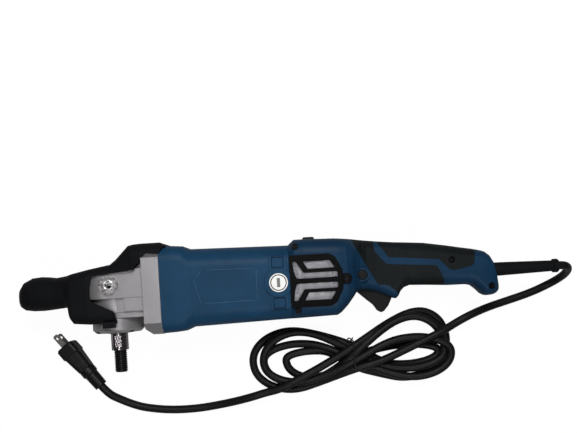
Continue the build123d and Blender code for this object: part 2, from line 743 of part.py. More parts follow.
def make_commutator():
    drum = along_x(COMMUTATOR_R, COMMUTATOR_X, COMMUTATOR_X + COMMUTATOR_LENGTH)
    drum += along_x(COMMUTATOR_R + 1.6, COMMUTATOR_X - 2.4, COMMUTATOR_X)
    drum -= along_x(SHAFT_R, COMMUTATOR_X - 4, COMMUTATOR_X + COMMUTATOR_LENGTH + 1)
    for n in range(COMMUTATOR_BARS):
        cut = block(
            COMMUTATOR_X,
            COMMUTATOR_X + COMMUTATOR_LENGTH + 1,
            -0.3,
            0.3,
            COMMUTATOR_R - 0.9,
            COMMUTATOR_R + 2,
        )
        drum -= Rot(360 * n / COMMUTATOR_BARS, 0, 0) * cut
    return drum


def make_fan():
    back = FAN_X + FAN_LENGTH
    fan = along_x(FAN_R, back - 1.8, back) + along_x(FAN_HUB_R, FAN_X, back)
    for n in range(FAN_BLADES):
        blade = block(FAN_X + 1.5, back - 1, FAN_HUB_R - 1, FAN_R - 0.5, -0.8, 0.8)
        fan += Rot(360 * n / FAN_BLADES, 0, 0) * blade
    return fan - along_x(SHAFT_R, FAN_X - 1, back + 1)


def limb_places():
    """Where the field coils pass through the stator, as (y, z)."""
    middle = (COIL_OUTER_R + COIL_INNER_R) / 2
    return [
        (middle * math.cos(math.radians(a)), middle * math.sin(math.radians(a)))
        for a in (40, 140, 220, 320)
    ]


def make_stator():
    core = along_x(STATOR_R, CORE_X, CORE_X + CORE_LENGTH)
    core -= along_x(STATOR_BORE_R, CORE_X - 1, CORE_X + CORE_LENGTH + 1)
    for y, z in limb_places():
        core -= along_x(COIL_LIMB_R, CORE_X - 1, CORE_X + CORE_LENGTH + 1, y, z)
    return core


def make_field_coils():
    """Two saddle coils, one each side of the armature."""
    ends = []
    for x0 in (CORE_X - COIL_REACH, CORE_X + CORE_LENGTH):
        head = along_x(COIL_OUTER_R, x0, x0 + COIL_REACH)
        head -= along_x(COIL_INNER_R, x0 - 1, x0 + COIL_REACH + 1)
        head -= block(x0 - 1, x0 + COIL_REACH + 1, -60, 60, -9, 9)
        ends.append(head)
    coils = ends[0] + ends[1]
    for y, z in limb_places():
        coils += along_x(COIL_LIMB_R, CORE_X - 1, CORE_X + CORE_LENGTH + 1, y, z)
    return coils


def make_baffle():
    baffle = along_x(FAN_CHAMBER_R, BAFFLE_X, BAFFLE_X + BAFFLE_THICK)
    return baffle - along_x(COIL_INNER_R, BAFFLE_X - 1, BAFFLE_X + BAFFLE_THICK + 1)


nodes["front_flange"] = make_flange()
nodes["flange_screws"] = make_flange_screws()
nodes["motor_housing"] = make_motor_housing()
nodes["front_motor_bearing"] = face_x(
    ball_bearing(FRONT_BEARING_R, SHAFT_R + RUN, FRONT_BEARING_WIDTH), FRONT_BEARING_X
)
nodes["rear_motor_bearing"] = face_x(
    ball_bearing(REAR_BEARING_R, REAR_SHAFT_R + RUN, REAR_BEARING_WIDTH), REAR_BEARING_X
)
nodes["armature_shaft"] = make_armature_shaft()
nodes["armature_core"] = make_core()
nodes["armature_windings"] = winding_head(CORE_X - WINDING_REACH, CORE_X) + winding_head(
    CORE_X + CORE_LENGTH, CORE_X + CORE_LENGTH + WINDING_REACH
)
nodes["commutator"] = make_commutator()
nodes["cooling_fan"] = make_fan()
nodes["stator_core"] = make_stator()
nodes["field_coils"] = make_field_coils()
nodes["air_baffle"] = make_baffle()


# ---------------------------------------------------------------- brush gear
def make_brush_holder():
    low, high = COMMUTATOR_R + 2.0, CAP_TOP - CAP_HEIGHT
    tube = Box(BRUSH_WIDTH + 2 * HOLDER_WALL, BRUSH_DEPTH + 2 * HOLDER_WALL, high - low)
    tube -= Box(BRUSH_WIDTH + 0.1, BRUSH_DEPTH + 0.1, high - low + 1)
    return Pos(BRUSH_X, 0, (low + high) / 2) * tube


def make_brush_cap():
    floor = CAP_TOP - CAP_HEIGHT
    face = CAP_TOP - 0.9
    cap = along_z(CAP_R, floor, face, BRUSH_X) + along_z(CAP_R - 2.2, face, CAP_TOP, BRUSH_X)
    cap += along_z(CAP_R, face, CAP_TOP, BRUSH_X) - along_z(CAP_R - 1.2, face, CAP_TOP, BRUSH_X)
    return cap - Pos(BRUSH_X, 0, CAP_TOP) * Box(*CAP_SLOT, 2.6)


brush_low = COMMUTATOR_R + CLEAR
brush = Pos(BRUSH_X, 0, brush_low + BRUSH_LENGTH / 2) * Box(BRUSH_WIDTH, BRUSH_DEPTH, BRUSH_LENGTH)
spring_length = CAP_TOP - CAP_HEIGHT - brush_low - BRUSH_LENGTH - 0.1
brush_spring = coil_spring(2.3, 0.6, spring_length, 5)
brush_spring = Pos(BRUSH_X, 0, brush_low + BRUSH_LENGTH + 0.05) * brush_spring
nodes["brush_holders"] = both_sides(make_brush_holder())
nodes["carbon_brushes"] = both_sides(brush)
nodes["brush_springs"] = both_sides(brush_spring)
nodes["brush_caps"] = both_sides(make_brush_cap())


# ---------------------------------------------------------------- side grilles
FRAME = [
    (188.4, 26.8),
    (229.6, 26.8),
    (235.4, 23.4),
    (242.6, 9.6),
    (242.6, -9.6),
    (235.4, -23.4),
    (229.6, -26.8),
    (188.4, -26.8),
]
OPENING = [(191.2, 21.6), (231.0, 21.6), (239.0, 7.8), (239.0, -7.8), (231.0, -21.6), (191.2, -21.6)]
UPPER_WINDOW = [(202.4, 20.2), (229.4, 20.2), (235.4, 12.2), (207.2, 12.2)]
MIDDLE_WINDOW = [
    (191.4, 20.2),
    (195.0, 20.2),
    (202.6, 8.6),
    (237.0, 8.6),
    (237.4, 2.7),
    (195.4, 2.7),
    (193.0, 9.0),
]
PLATE_LOW = GRILLE_TOP - 1.8


def flipped(points):
    """An outline turned over about the motor axis."""
    return [(x, -y) for x, y in points][::-1]


def make_grille_frame(outer):
    frame = prism(FRAME, PLATE_LOW, GRILLE_TOP, 2.5)
    skirt = prism(FRAME, 36.0, PLATE_LOW, 2.5) & block(180, 204, -40, 40, 30, 50)
    frame += skirt - outer - prism(OPENING, 30, 50)
    frame += along_z(GRILLE_TAB_R, 41.0, 43.4, GRILLE_SCREW_X)
    frame += block(240, GRILLE_SCREW_X, -GRILLE_TAB_R, GRILLE_TAB_R, PLATE_LOW, 43.4)
    for window in (UPPER_WINDOW, MIDDLE_WINDOW):
        frame -= prism(window, 30, 50, 0.6) + prism(flipped(window), 30, 50, 0.6)
    frame -= brush_boss(CLEAR)
    frame -= along_z(GRILLE_SCREW_R, 30, 50, GRILLE_SCREW_X)
    return frame - along_z(3.3, 41.9, 50, GRILLE_SCREW_X)


def make_grille_mesh():
    plate = prism(OPENING, PLATE_LOW - 1.0, PLATE_LOW - 0.05)
    plate -= brush_boss(CLEAR)
    holes = [
        Pos(x, y, PLATE_LOW) * Box(2.2, 2.2, 4)
        for x in (203.5 + 3.4 * n for n in range(8))
        for y in (-17.2 + 3.4 * m for m in range(11))
    ]
    return plate - holes


# ---------------------------------------------------------------- rear housing and handle
GRIP_FRONT = [
    (254.4, 60.0),
    (254.4, 39.4),
    (281.2, -8.6),
    (292.6, -9.8),
    (299.4, -16.2),
    (303.4, -19.4),
    (306.0, -40.0),
    (352.2, -40.0),
    (352.2, -8.1),
    (345.8, 6.1),
    (342.7, 8.4),
    (291.8, 12.7),
    (288.7, 15.3),
    (278.8, 27.3),
    (278.5, 60.0),
]
GRIP_REAR = [
    (283.0, 60.0),
    (283.2, 35.2),
    (293.8, 19.9),
    (347.2, 14.6),
    (357.8, 3.0),
    (361.8, 1.9),
    (379.7, 4.9),
    (384.1, 7.1),
    (387.0, 21.8),
    (388.0, 60.0),
]
SWITCH = (268.0, 306.0, -1.5, 19.0)
SWITCH_HALF = 8.8
LOCK_ON_ZONE = block(250, 280, -10, 20, 10, 40)
BOARD_LEDGE = (222.0, 238.0, 30.0, 34.0)  # ribs that hold the speed control's board
BOARD = (220.2, 240.0, 30.2, 32.0)
BOARD_HALF = 13.9
BOARD_PARTS_TOP = 39.4


def grip_zones():
    return prism(GRIP_FRONT, -40, 40) + prism(GRIP_REAR, -40, 40)


def make_grips(outer):
    """The soft skin let into both sides of the handle."""
    rows = [row for row in SHELL if 238 < row[0] < 397]
    skin_band = (outer & grip_zones()) - skin(rows, GRIP_DEPTH)
    return skin_band & block(245, 392, -60, 60, -60, 60)


def make_shell(outer, grips, side):
    """One half of the rear housing: 1 is the half with the lock-on button."""
    opened = [(SHELL[0][0] - 1.0,) + SHELL[0][1:]]
    cavity = skin(opened + SHELL[: CAVITY_LAST + 1], WALL)
    body = outer - grips - cavity
    extra = along_z(GRILLE_TAB_R, 0, 60, GRILLE_SCREW_X)
    for x, y, top in HOUSING_SCREWS:
        extra += along_z(POST_R, -60, 60, x, y)
    for x0 in (SWITCH[0] + 2, SWITCH[1] - 5):
        extra += block(x0, x0 + 2.5, SWITCH[2] + 1, SWITCH[3], SWITCH_HALF, 60)
        extra += block(x0, x0 + 2.5, SWITCH[2] + 1, SWITCH[3], -SWITCH_HALF, -60)
    for sign in (1, -1):
        extra += along_z(3.6, sign * (TRIGGER_SLOT_HALF + 0.1), sign * 60, *TRIGGER_PIVOT)
        extra += block(*BOARD_LEDGE, sign * (BOARD_HALF + 0.1), sign * 60)
    for x0, x1 in DIAL_SUPPORTS:
        extra += block(x0, x1, DIAL_Y - 5, DIAL_Y + 6, -8, 8)
    collar_low = GUARD_COLLAR_X - 3.0
    extra += block(collar_low, GUARD_COLLAR_X - 0.2, -24, 14, -18, 18)
    extra -= along_x(CORD_R + 1.0, collar_low - 1, GUARD_COLLAR_X, CORD_Y)
    if side < 0:
        extra += block(CLAMP_X, CLAMP_X + CLAMP_LENGTH, CORD_Y - 10, CORD_Y + 10, -18, 0)
    inner = skin(SHELL[:-2], 0.6)
    body += extra & (inner - grips)
    body = keep_side(body, side)
    if side > 0:
        body += along_z(LOCK_ON_BOSS_R, 15.5, LOCK_ON_BOSS_TOP, LOCK_ON_X, LOCK_ON_Y) & LOCK_ON_ZONE
        body -= along_z(LOCK_ON_R + CLEAR, 17.5, 40, LOCK_ON_X, LOCK_ON_Y)
        body -= along_z(2.0 + 0.2, 10, 40, LOCK_ON_X, LOCK_ON_Y)
    return cut_shell(body, side)



def cut_shell(body, side):
    """Everything cut out of one half of the rear housing."""
    pocket = prism(FRAME, PLATE_LOW, 60, 2.5)
    pocket += prism(OPENING, PLATE_LOW - 1.0, 60) + prism(OPENING, 30, 60)
    pocket += along_z(GRILLE_TAB_R + 0.1, 41.0, 60, GRILLE_SCREW_X)
    pocket += block(240, GRILLE_SCREW_X, -GRILLE_TAB_R - 0.1, GRILLE_TAB_R + 0.1, 42.2, 60)
    pocket += along_z(GRILLE_SCREW_R, 30, 60, GRILLE_SCREW_X)
    body -= pocket if side > 0 else mirrored(pocket)
    body -= brush_boss(CLEAR)
    for x, y, top in HOUSING_SCREWS:
        if side > 0:
            body -= along_z(SCREW_R, -1, 60, x, y)
            body -= along_z(SCREW_HEAD_R + 0.4, top, 60, x, y)
        else:
            body -= along_z(SCREW_R, -13, 1, x, y)
    x0, x1 = TRIGGER_SLOT
    body -= block(x0, x1, -60, -4.0, -TRIGGER_SLOT_HALF, TRIGGER_SLOT_HALF)
    body -= along_z(TRIGGER_PIN_R, -13.5, 13.5, *TRIGGER_PIVOT)
    slot_half = DIAL_R + CLEAR
    body -= block(DIAL_X - 0.5, DIAL_X + DIAL_WIDTH + 0.5, DIAL_Y - 10, 60, -slot_half, slot_half)
    body -= along_x(DIAL_SHAFT_R + 0.1, DIAL_SHAFT[0] - 4, DIAL_SHAFT[1] + 2, DIAL_Y)
    body -= along_x(GUARD_ROOT_R + 0.1, GUARD_COLLAR_X + 1, 425, CORD_Y)
    body -= along_x(GUARD_COLLAR_R + 0.1, GUARD_COLLAR_X - 0.2, COLLAR_END + 0.1, CORD_Y)
    body -= along_x(CORD_R, CLAMP_X - 2, CLAMP_X + CLAMP_LENGTH + 2, CORD_Y)
    for y in clamp_screw_rows():
        body -= along_z(1.5, -10, 1, CLAMP_X + CLAMP_LENGTH / 2, y)
    return body


def clamp_screw_rows():
    return (CORD_Y - 7.4, CORD_Y + 7.4)


def make_housing_screws():
    screws = []
    for x, y, top in HOUSING_SCREWS:
        screw = socket_screw(top + 12.0, SCREW_R, SCREW_HEAD, SCREW_HEAD_R, 1.4)
        screws.append(Pos(x, y, top) * Rot(180, 0, 0) * screw)
    return Compound(screws)


def make_grille_screws():
    screw = Pos(GRILLE_SCREW_X, 0, 41.9) * Rot(180, 0, 0) * socket_screw(9, GRILLE_SCREW_R, 1.5, 3.2, 1.0)
    return Compound([screw, mirrored(screw)])


TRIGGER = [
    (259.9, -14.8),
    (269.8, -23.8),
    (277.0, -30.1),
    (281.4, -36.8),
    (284.4, -38.5),
    (287.4, -37.4),
    (292.2, -31.9),
    (296.0, -24.6),
    (296.0, -14.0),
    (288.0, -5.6),
    (264.0, -5.0),
    (259.0, -7.2),
    (258.4, -12.0),
]


def make_trigger():
    body = prism(TRIGGER, -TRIGGER_HALF, TRIGGER_HALF)
    edges = [
        e for e in body.edges().group_by(Axis.Z)[0] + body.edges().group_by(Axis.Z)[-1]
        if e.center().Y < -15.5
    ]
    body = fillet(edges, 1.6)
    return body - along_z(TRIGGER_PIN_R + RUN, -20, 20, *TRIGGER_PIVOT)


def make_lock_on_button():
    low = LOCK_ON_TOP - LOCK_ON_HEIGHT
    button = along_z(LOCK_ON_R, low, LOCK_ON_TOP, LOCK_ON_X, LOCK_ON_Y)
    button = fillet(button.edges().group_by(Axis.Z)[-1], 0.9)
    return button + along_z(2.0, 14.0, low, LOCK_ON_X, LOCK_ON_Y)


def make_speed_dial():
    wheel = along_x(DIAL_R, DIAL_X, DIAL_X + DIAL_WIDTH, DIAL_Y)
    wheel = chamfer(wheel.edges().filter_by(GeomType.CIRCLE), 1.2)
    for n in range(20):
        turn = math.radians(360 * n / 20)
        y, z = DIAL_Y + (DIAL_R + 0.5) * math.cos(turn), (DIAL_R + 0.5) * math.sin(turn)
        wheel -= along_x(0.9, DIAL_X - 1, DIAL_X + 4.0, y, z)
    return wheel + along_x(DIAL_SHAFT_R, *DIAL_SHAFT, DIAL_Y)


def make_speed_control():
    board = block(*BOARD, -BOARD_HALF, BOARD_HALF)
    board += block(BOARD[0], BOARD[0] + 8.8, BOARD[3], BOARD_PARTS_TOP, -7, 7)
    return board + block(BOARD[1] - 9, BOARD[1] - 1, BOARD[2] - 8.2, BOARD[2], -9, 9)


outer = skin(SHELL)
grips = make_grips(outer)
head_holes = Compound([along_z(SCREW_HEAD_R + 0.4, 5, 60, x, y) for x, y, top in HOUSING_SCREWS])
cuts = block(TRIGGER_SLOT[0], TRIGGER_SLOT[1], -60, -4.0, -TRIGGER_SLOT_HALF, TRIGGER_SLOT_HALF)
nodes["handle_grip_left"] = keep_side(grips, 1) - head_holes - cuts
nodes["handle_grip_right"] = keep_side(grips, -1) - cuts
nodes["rear_housing_left"] = make_shell(outer, grips, 1)
nodes["rear_housing_right"] = make_shell(outer, grips, -1)
nodes["housing_screws"] = make_housing_screws()
frame_left = make_grille_frame(outer)
mesh_left = make_grille_mesh()
nodes["grille_frame_left"] = frame_left
nodes["grille_frame_right"] = mirrored(frame_left)
nodes["grille_mesh_left"] = mesh_left
nodes["grille_mesh_right"] = mirrored(mesh_left)
nodes["grille_screws"] = make_grille_screws()
nodes["trigger"] = make_trigger()
nodes["trigger_pin"] = along_z(TRIGGER_PIN_R, -13.2, 13.2, *TRIGGER_PIVOT)
nodes["trigger_spring"] = Pos(280, 0, 0) * face_y(coil_spring(2.4, 0.7, 3.5, 3), SWITCH[2] - 0.1)
nodes["power_switch"] = block(*SWITCH, -SWITCH_HALF + 0.1, SWITCH_HALF - 0.1)
nodes["lock_on_button"] = make_lock_on_button()
lock_spring = coil_spring(3.2, 0.7, LOCK_ON_TOP - LOCK_ON_HEIGHT - 17.7, 4)
nodes["lock_on_spring"] = Pos(LOCK_ON_X, LOCK_ON_Y, 17.6) * lock_spring
nodes["speed_dial"] = make_speed_dial()
nodes["speed_control"] = make_speed_control()


# ---------------------------------------------------------------- hood over the gear head
HOOD_WALL = 3.2
# (x, lowest y, highest y, half thickness, corner radius)
HOOD = [
    (-101.6, -5.4, 4.2, 12.0, 4.5),
    (-99.6, -10.4, 10.6, 18.0, 9.0),
    (-95.0, -13.4, 16.4, 23.0, 13.0),
    (-86.0, -14.8, 20.6, 26.5, 16.0),
    (-76.0, -15.0, 21.4, 28.5, 17.0),
    (-61.0, -13.6, 19.0, 30.5, 15.0),
    (-48.0, -12.8, 20.6, 33.0, 14.0),
    (-44.6, -16.6, 21.2, 34.2, 13.0),
    (-43.2, -26.6, 21.5, 35.2, 12.0),
    (-40.0, -30.4, 22.2, 36.2, 11.0),
    (-23.0, -32.0, 25.6, 37.6, 11.0),
    (1.4, -32.2, 29.6, 37.6, 11.0),
    (7.6, -32.2, 34.4, 38.0, 11.0),
    (22.0, -32.2, 47.9, 41.0, 11.0),
    (27.0, -32.2, 48.9, 42.4, 12.0),
    (36.0, -32.2, 49.4, 43.6, 13.0),
    (55.0, -32.2, 49.4, 43.6, 13.0),
    (61.4, -32.2, 46.2, 43.6, 13.0),
]
# the hood is open on both sides behind and below this line
HOOD_SIDE = [
    (-17.3, 18.0),
    (-20.2, 5.4),
    (-20.4, -4.9),
    (-17.7, -8.7),
    (3.2, -19.1),
    (5.4, -21.6),
    (5.4, -60.0),
    (80.0, -60.0),
    (80.0, 44.2),
    (60.0, 44.2),
    (54.6, 37.8),
    (42.4, 39.6),
    (36.6, 32.8),
    (27.3, 24.1),
    (28.0, 22.2),
]
HOOD_TAB = (-7.8, 5.4, -36.3, -30.0)
HOOD_TAB_TOP = 37.2
HOOD_INNER = slice(2, 15)  # the stations between which the hood is hollow
HOOD_SCREW_BED = 1.0
HOOD_SCREW_R = 1.9
HOOD_SCREW_HEAD_R = 3.6
HOOD_SCREW_LENGTH = 12.0
HOOD_SCREWS = [(44.0, 20.0), (44.0, -20.0)]


HOOD_SCREW_SEAT = FLANGE_HEIGHT / 2 + CLEAR + HOOD_SCREW_BED


def make_hood():
    body = skin(HOOD) - prism(HOOD_SIDE, -80, 80)
    inner = [(x, low, high, half, corner) for x, low, high, half, corner in HOOD[HOOD_INNER]]
    body -= skin(inner, HOOD_WALL)
    body -= gearbox_outer(CLEAR)
    barrel = [(x, -h - CLEAR, h + CLEAR, t + CLEAR, c) for x, h, t, c in BARREL]
    body -= extrude(flange_outline(CLEAR), FLANGE_LENGTH + CLEAR, dir=(1, 0, 0)) + skin(barrel)
    body -= block(FLANGE_X - 2, FLANGE_X + 1, -60, FLANGE_HEIGHT / 2 + CLEAR, -31, 31)
    x0, x1, y0, y1 = HOOD_TAB
    for side in (1, -1):
        body += block(x0, x1, y0, y1, side * (HOOD_TAB_TOP - 4), side * HOOD_TAB_TOP)
    body -= along_y(BOX_R + CLEAR, -60, -BOX_TOP + 1) + along_y(GEARBOX_CHEEK_R + CLEAR, -27, -10)
    body -= lock_place(along_y(LOCK_BUTTON_R + 0.8, GEARBOX_TOP - 2, 60))
    for x, z in HOOD_SCREWS:
        body -= along_y(HOOD_SCREW_R, 40, 60, x, z)
        body -= along_y(HOOD_SCREW_HEAD_R + 0.2, HOOD_SCREW_SEAT, 60, x, z)
    return body


def make_hood_screws():
    screws = []
    for x, z in HOOD_SCREWS:
        screw = socket_screw(HOOD_SCREW_LENGTH, HOOD_SCREW_R, 1.6, HOOD_SCREW_HEAD_R, 1.0)
        screws.append(Pos(x, HOOD_SCREW_SEAT, z) * Rot(90, 0, 0) * screw)
    return Compound(screws)


nodes["head_hood"] = make_hood()
nodes["hood_screws"] = make_hood_screws()
for x, z in HOOD_SCREWS:
    nodes["front_flange"] -= along_y(HOOD_SCREW_R, HOOD_SCREW_SEAT - HOOD_SCREW_LENGTH - 1, 60, x, z)


# ---------------------------------------------------------------- cord guard, clamp and inner lead
def make_guard():
    bead = GUARD_END - GUARD_BEAD_LENGTH
    profile = Polyline(
        (GUARD_COLLAR_X, CORD_R),
        (GUARD_COLLAR_X, GUARD_COLLAR_R),
        (COLLAR_END, GUARD_COLLAR_R),
        (COLLAR_END, GUARD_ROOT_R),
        (COLLAR_END + 12, GUARD_ROOT_R),
        (bead, GUARD_TIP_R),
        (bead + 1.2, GUARD_BEAD_R),
        (GUARD_END - 1.4, GUARD_BEAD_R),
        (GUARD_END, GUARD_BEAD_R - 1.4),
        (GUARD_END, CORD_R),
        close=True,
    )
    return Pos(0, CORD_Y, 0) * revolve(make_face(profile), axis=Axis.X)


def make_clamp():
    clamp = block(CLAMP_X, CLAMP_X + CLAMP_LENGTH, CORD_Y - 10, CORD_Y + 10, 0.6, 6.4)
    clamp -= along_x(CORD_R, CLAMP_X - 1, CLAMP_X + CLAMP_LENGTH + 1, CORD_Y)
    for y in clamp_screw_rows():
        clamp -= along_z(1.5, 0, 7, CLAMP_X + CLAMP_LENGTH / 2, y)
    return clamp


def make_clamp_screws():
    screws = []
    for y in clamp_screw_rows():
        screw = Rot(180, 0, 0) * socket_screw(14.0, 1.5, 2.0, 2.8, 1.2)
        screws.append(Pos(CLAMP_X + CLAMP_LENGTH / 2, y, 6.4) * screw)
    return Compound(screws)


nodes["cord_guard"] = make_guard()
nodes["cord_clamp"] = make_clamp()
nodes["cord_clamp_screws"] = make_clamp_screws()
nodes["inner_lead"] = along_x(CORD_R, SWITCH[1], GUARD_END, CORD_Y)


# ---------------------------------------------------------------- power cord and plug
FLOOR = -REST
LAID = FLOOR + CORD_R + 0.05

TOOL_END_ROUTE = [
    (GUARD_END, CORD_Y, 0.0),
    (486.2, CORD_Y, 0.0),
    (491.8, -1.7, -4.4),
    (494.9, -4.9, -11.4),
    (495.2, -8.8, -19.6),
    (492.6, -13.0, -27.6),
    (487.2, -17.4, -34.4),
    (479.0, -21.9, LAID),
    (467.6, -26.6, LAID),
    (452.0, -31.6, LAID),
    (433.0, -36.6, LAID + 0.6),
    (410.0, -42.4, LAID + 4.0),
    (388.0, -49.4, LAID + 11.4),
    (370.6, -57.7, LAID + 12.0),
]

PLUG_Z = FLOOR + PLUG_HALF
PLUG_LEAD = (-24.2, -114.0, PLUG_Z)
PLUG_REAR = (-32.0, -104.0, PLUG_Z)
PLUG_TURN = math.degrees(math.atan2(PLUG_REAR[1] - PLUG_LEAD[1], PLUG_REAR[0] - PLUG_LEAD[0]))

PLUG_END_ROUTE = [
    (152.4, -122.8, LAID + 12.0),
    (139.4, -126.2, LAID + 12.0),
    (121.0, -130.6, LAID + 7.6),
    (99.0, -134.8, LAID + 1.8),
    (73.4, -137.8, LAID),
    (43.1, -137.6, LAID),
    (15.0, -133.2, LAID),
    (1.0, -128.4, LAID + 0.4),
    (-12.2, -121.4, LAID + 3.6),
    PLUG_LEAD,
    PLUG_REAR,
]

# outer shape of the figure-eight hank, seen from above
HANK = [
    (254.3, -76.1),
    (281.3, -55.9),
    (305.2, -42.6),
    (330.6, -35.6),
    (352.6, -37.6),
    (368.6, -53.7),
    (372.6, -61.7),
    (372.8, -74.0),
    (370.4, -92.6),
    (362.2, -107.1),
    (344.4, -117.7),
    (318.9, -120.2),
    (284.6, -116.2),
    (261.5, -109.2),
    (229.1, -119.4),
    (202.4, -126.9),
    (176.0, -130.4),
    (154.1, -129.2),
    (150.7, -116.4),
    (139.7, -105.6),
    (135.2, -94.7),
    (135.8, -76.5),
    (144.9, -61.0),
    (160.4, -52.9),
    (180.7, -50.2),
    (207.8, -53.7),
    (235.4, -64.9),
]
HANK_HEIGHT = 21.0
HANK_MIDDLE = (215.0, 298.0)
HANK_MIDDLE_HEIGHT = 28.0
TIE_X = (253.0, 256.4)
TIE_Y = (-105.4, -70.6)
TIE_THICK = 1.0


def corner_radii(points):
    """The largest tangent arc that each corner of a route leaves room for."""
    radii = []
    for before, here, after in zip(points, points[1:], points[2:]):
        a, b = Vector(*here) - Vector(*before), Vector(*after) - Vector(*here)
        turn = math.radians(a.get_angle(b))
        radii.append(0.45 * min(a.length, b.length) / math.tan(turn / 2))
    return radii


def cord_tube(points):
    """A round cord along straight runs joined by tangent arcs."""
    radii = corner_radii(points)
    path = FilletPolyline(*points, radius=radii)
    print("radii", [round(r) for r in radii], "length", round(path.length))
    profile = Plane(origin=path @ 0, z_dir=path % 0) * Circle(CORD_R)
    tube = sweep(profile, path=path)
    print("volume over section times length", tube.volume / (math.pi * CORD_R**2 * path.length))
    return tube


def make_hank():
    low = prism(HANK, FLOOR, FLOOR + HANK_HEIGHT)
    tall = prism(HANK, FLOOR, FLOOR + HANK_MIDDLE_HEIGHT)
    tall &= block(*HANK_MIDDLE, -200, 0, FLOOR, FLOOR + HANK_MIDDLE_HEIGHT)
    hank = low + tall
    waist = block(*TIE_X, -200, 0, FLOOR, FLOOR + 40)
    core = waist & block(0, 400, *TIE_Y, FLOOR + TIE_THICK, FLOOR + HANK_MIDDLE_HEIGHT)
    return hank - (waist - core)


def make_tie():
    x0, x1 = TIE_X
    y0, y1 = TIE_Y
    top = FLOOR + HANK_MIDDLE_HEIGHT
    band = block(x0, x1, y0 - TIE_THICK, y1 + TIE_THICK, FLOOR, top + TIE_THICK)
    return band - block(x0 - 1, x1 + 1, y0, y1, FLOOR + TIE_THICK, top)


def place_plug(shape):
    """A shape drawn along +X from the cord, moved to the plug's place."""
    return Pos(*PLUG_REAR) * Rot(0, 0, PLUG_TURN) * shape


def make_plug_body():
    """A moulded plug: strain relief, ring, waisted body and a wider front collar."""
    relief = Pos(PLUG_RELIEF_LENGTH / 2, 0, 0) * Rot(0, 90, 0) * Cone(7.2, 7.7, PLUG_RELIEF_LENGTH)
    ring_x = PLUG_RELIEF_LENGTH - 0.2 + PLUG_RING_LENGTH / 2
    flange = Pos(ring_x, 0, 0) * Rot(0, 90, 0) * Cylinder(PLUG_RING_R, PLUG_RING_LENGTH)
    flange = chamfer(flange.edges().filter_by(GeomType.CIRCLE), 1.4)
    # x, half width, half thickness, corner
    rows = [
        (25.4, 8.2, 8.6, 4.6),
        (37.0, 9.0, 9.9, 4.4),
        (46.2, 9.6, 11.0, 4.4),
        (47.4, 10.6, PLUG_HALF, 4.4),
        (PLUG_LENGTH - 2.0, 10.4, PLUG_HALF, 4.4),
        (PLUG_LENGTH, 8.8, PLUG_HALF - 1.6, 3.6),
    ]
    body = skin([(x, -h, h, t, c) for x, h, t, c in rows])
    return place_plug(relief + flange + body)


def make_blades():
    blades = []
    for side in (1, -1):
        blade = Box(BLADE_LENGTH, BLADE_WIDTH, BLADE_THICK)
        blade = chamfer(blade.edges().filter_by(Axis.Z).group_by(Axis.X)[-1], 1.4)
        blade -= Pos(BLADE_LENGTH / 2 - 4.6, 0, 0) * Cylinder(1.6, 4)
        blades.append(Pos(PLUG_LENGTH + BLADE_LENGTH / 2, 0, side * BLADE_GAP / 2) * blade)
    return place_plug(Compound(blades))


nodes["power_cord_tool_end"] = cord_tube(TOOL_END_ROUTE)
nodes["power_cord_plug_end"] = cord_tube(PLUG_END_ROUTE)
nodes["power_cord_hank"] = make_hank()
nodes["cord_tie"] = make_tie()
nodes["plug_body"] = make_plug_body()
nodes["plug_blades"] = make_blades()


# ---------------------------------------------------------------- one STEP file for each piece
os.makedirs("parts", exist_ok=True)
for name, shape in nodes.items():
    export_step(Pos(0, SHOULDER, 0) * shape, os.path.join("parts", name + ".step"))
print(len(nodes), "nodes")
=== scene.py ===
import json
import math

import bmesh
import bpy
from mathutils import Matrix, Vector


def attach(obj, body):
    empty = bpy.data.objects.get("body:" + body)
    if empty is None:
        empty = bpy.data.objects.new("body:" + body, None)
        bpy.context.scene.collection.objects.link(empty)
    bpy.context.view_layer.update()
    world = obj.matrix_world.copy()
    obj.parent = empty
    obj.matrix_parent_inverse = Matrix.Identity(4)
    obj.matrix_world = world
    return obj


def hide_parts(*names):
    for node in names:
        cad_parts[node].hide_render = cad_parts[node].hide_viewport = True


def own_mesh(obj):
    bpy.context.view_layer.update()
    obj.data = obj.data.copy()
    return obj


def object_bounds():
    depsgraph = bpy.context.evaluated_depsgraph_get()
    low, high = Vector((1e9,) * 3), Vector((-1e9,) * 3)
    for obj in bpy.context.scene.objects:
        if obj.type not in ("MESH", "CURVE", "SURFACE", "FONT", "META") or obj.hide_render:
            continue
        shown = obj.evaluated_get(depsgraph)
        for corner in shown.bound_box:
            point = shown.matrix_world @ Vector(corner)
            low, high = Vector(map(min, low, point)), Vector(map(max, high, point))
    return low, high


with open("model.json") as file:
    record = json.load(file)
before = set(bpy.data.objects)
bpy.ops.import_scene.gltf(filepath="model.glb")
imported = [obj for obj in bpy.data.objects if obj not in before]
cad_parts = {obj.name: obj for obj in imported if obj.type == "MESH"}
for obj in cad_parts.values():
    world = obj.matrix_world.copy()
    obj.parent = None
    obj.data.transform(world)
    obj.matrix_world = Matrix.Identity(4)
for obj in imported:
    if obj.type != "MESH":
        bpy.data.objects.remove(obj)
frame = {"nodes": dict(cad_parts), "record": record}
cad_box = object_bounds()
nodes = frame["nodes"]

# Everything is in metres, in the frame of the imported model: X along the motor axis towards the cord,
# Y away from the spindle's tip, Z up from the floor that the tool lies on.
MM = 0.001
SHOULDER = 0.062  # from the middle of the spindle's shoulder to the motor axis
FLOOR = cad_box[0].z


def at(x, y, z):
    """A point given in millimetres from where the motor axis crosses the spindle axis."""
    return Vector((x * MM, y * MM + SHOULDER, z * MM))


def eased(t):
    """From 0 to 1, starting and ending gently."""
    t = max(0.0, min(1.0, t))
    return t * t * (3 - 2 * t)


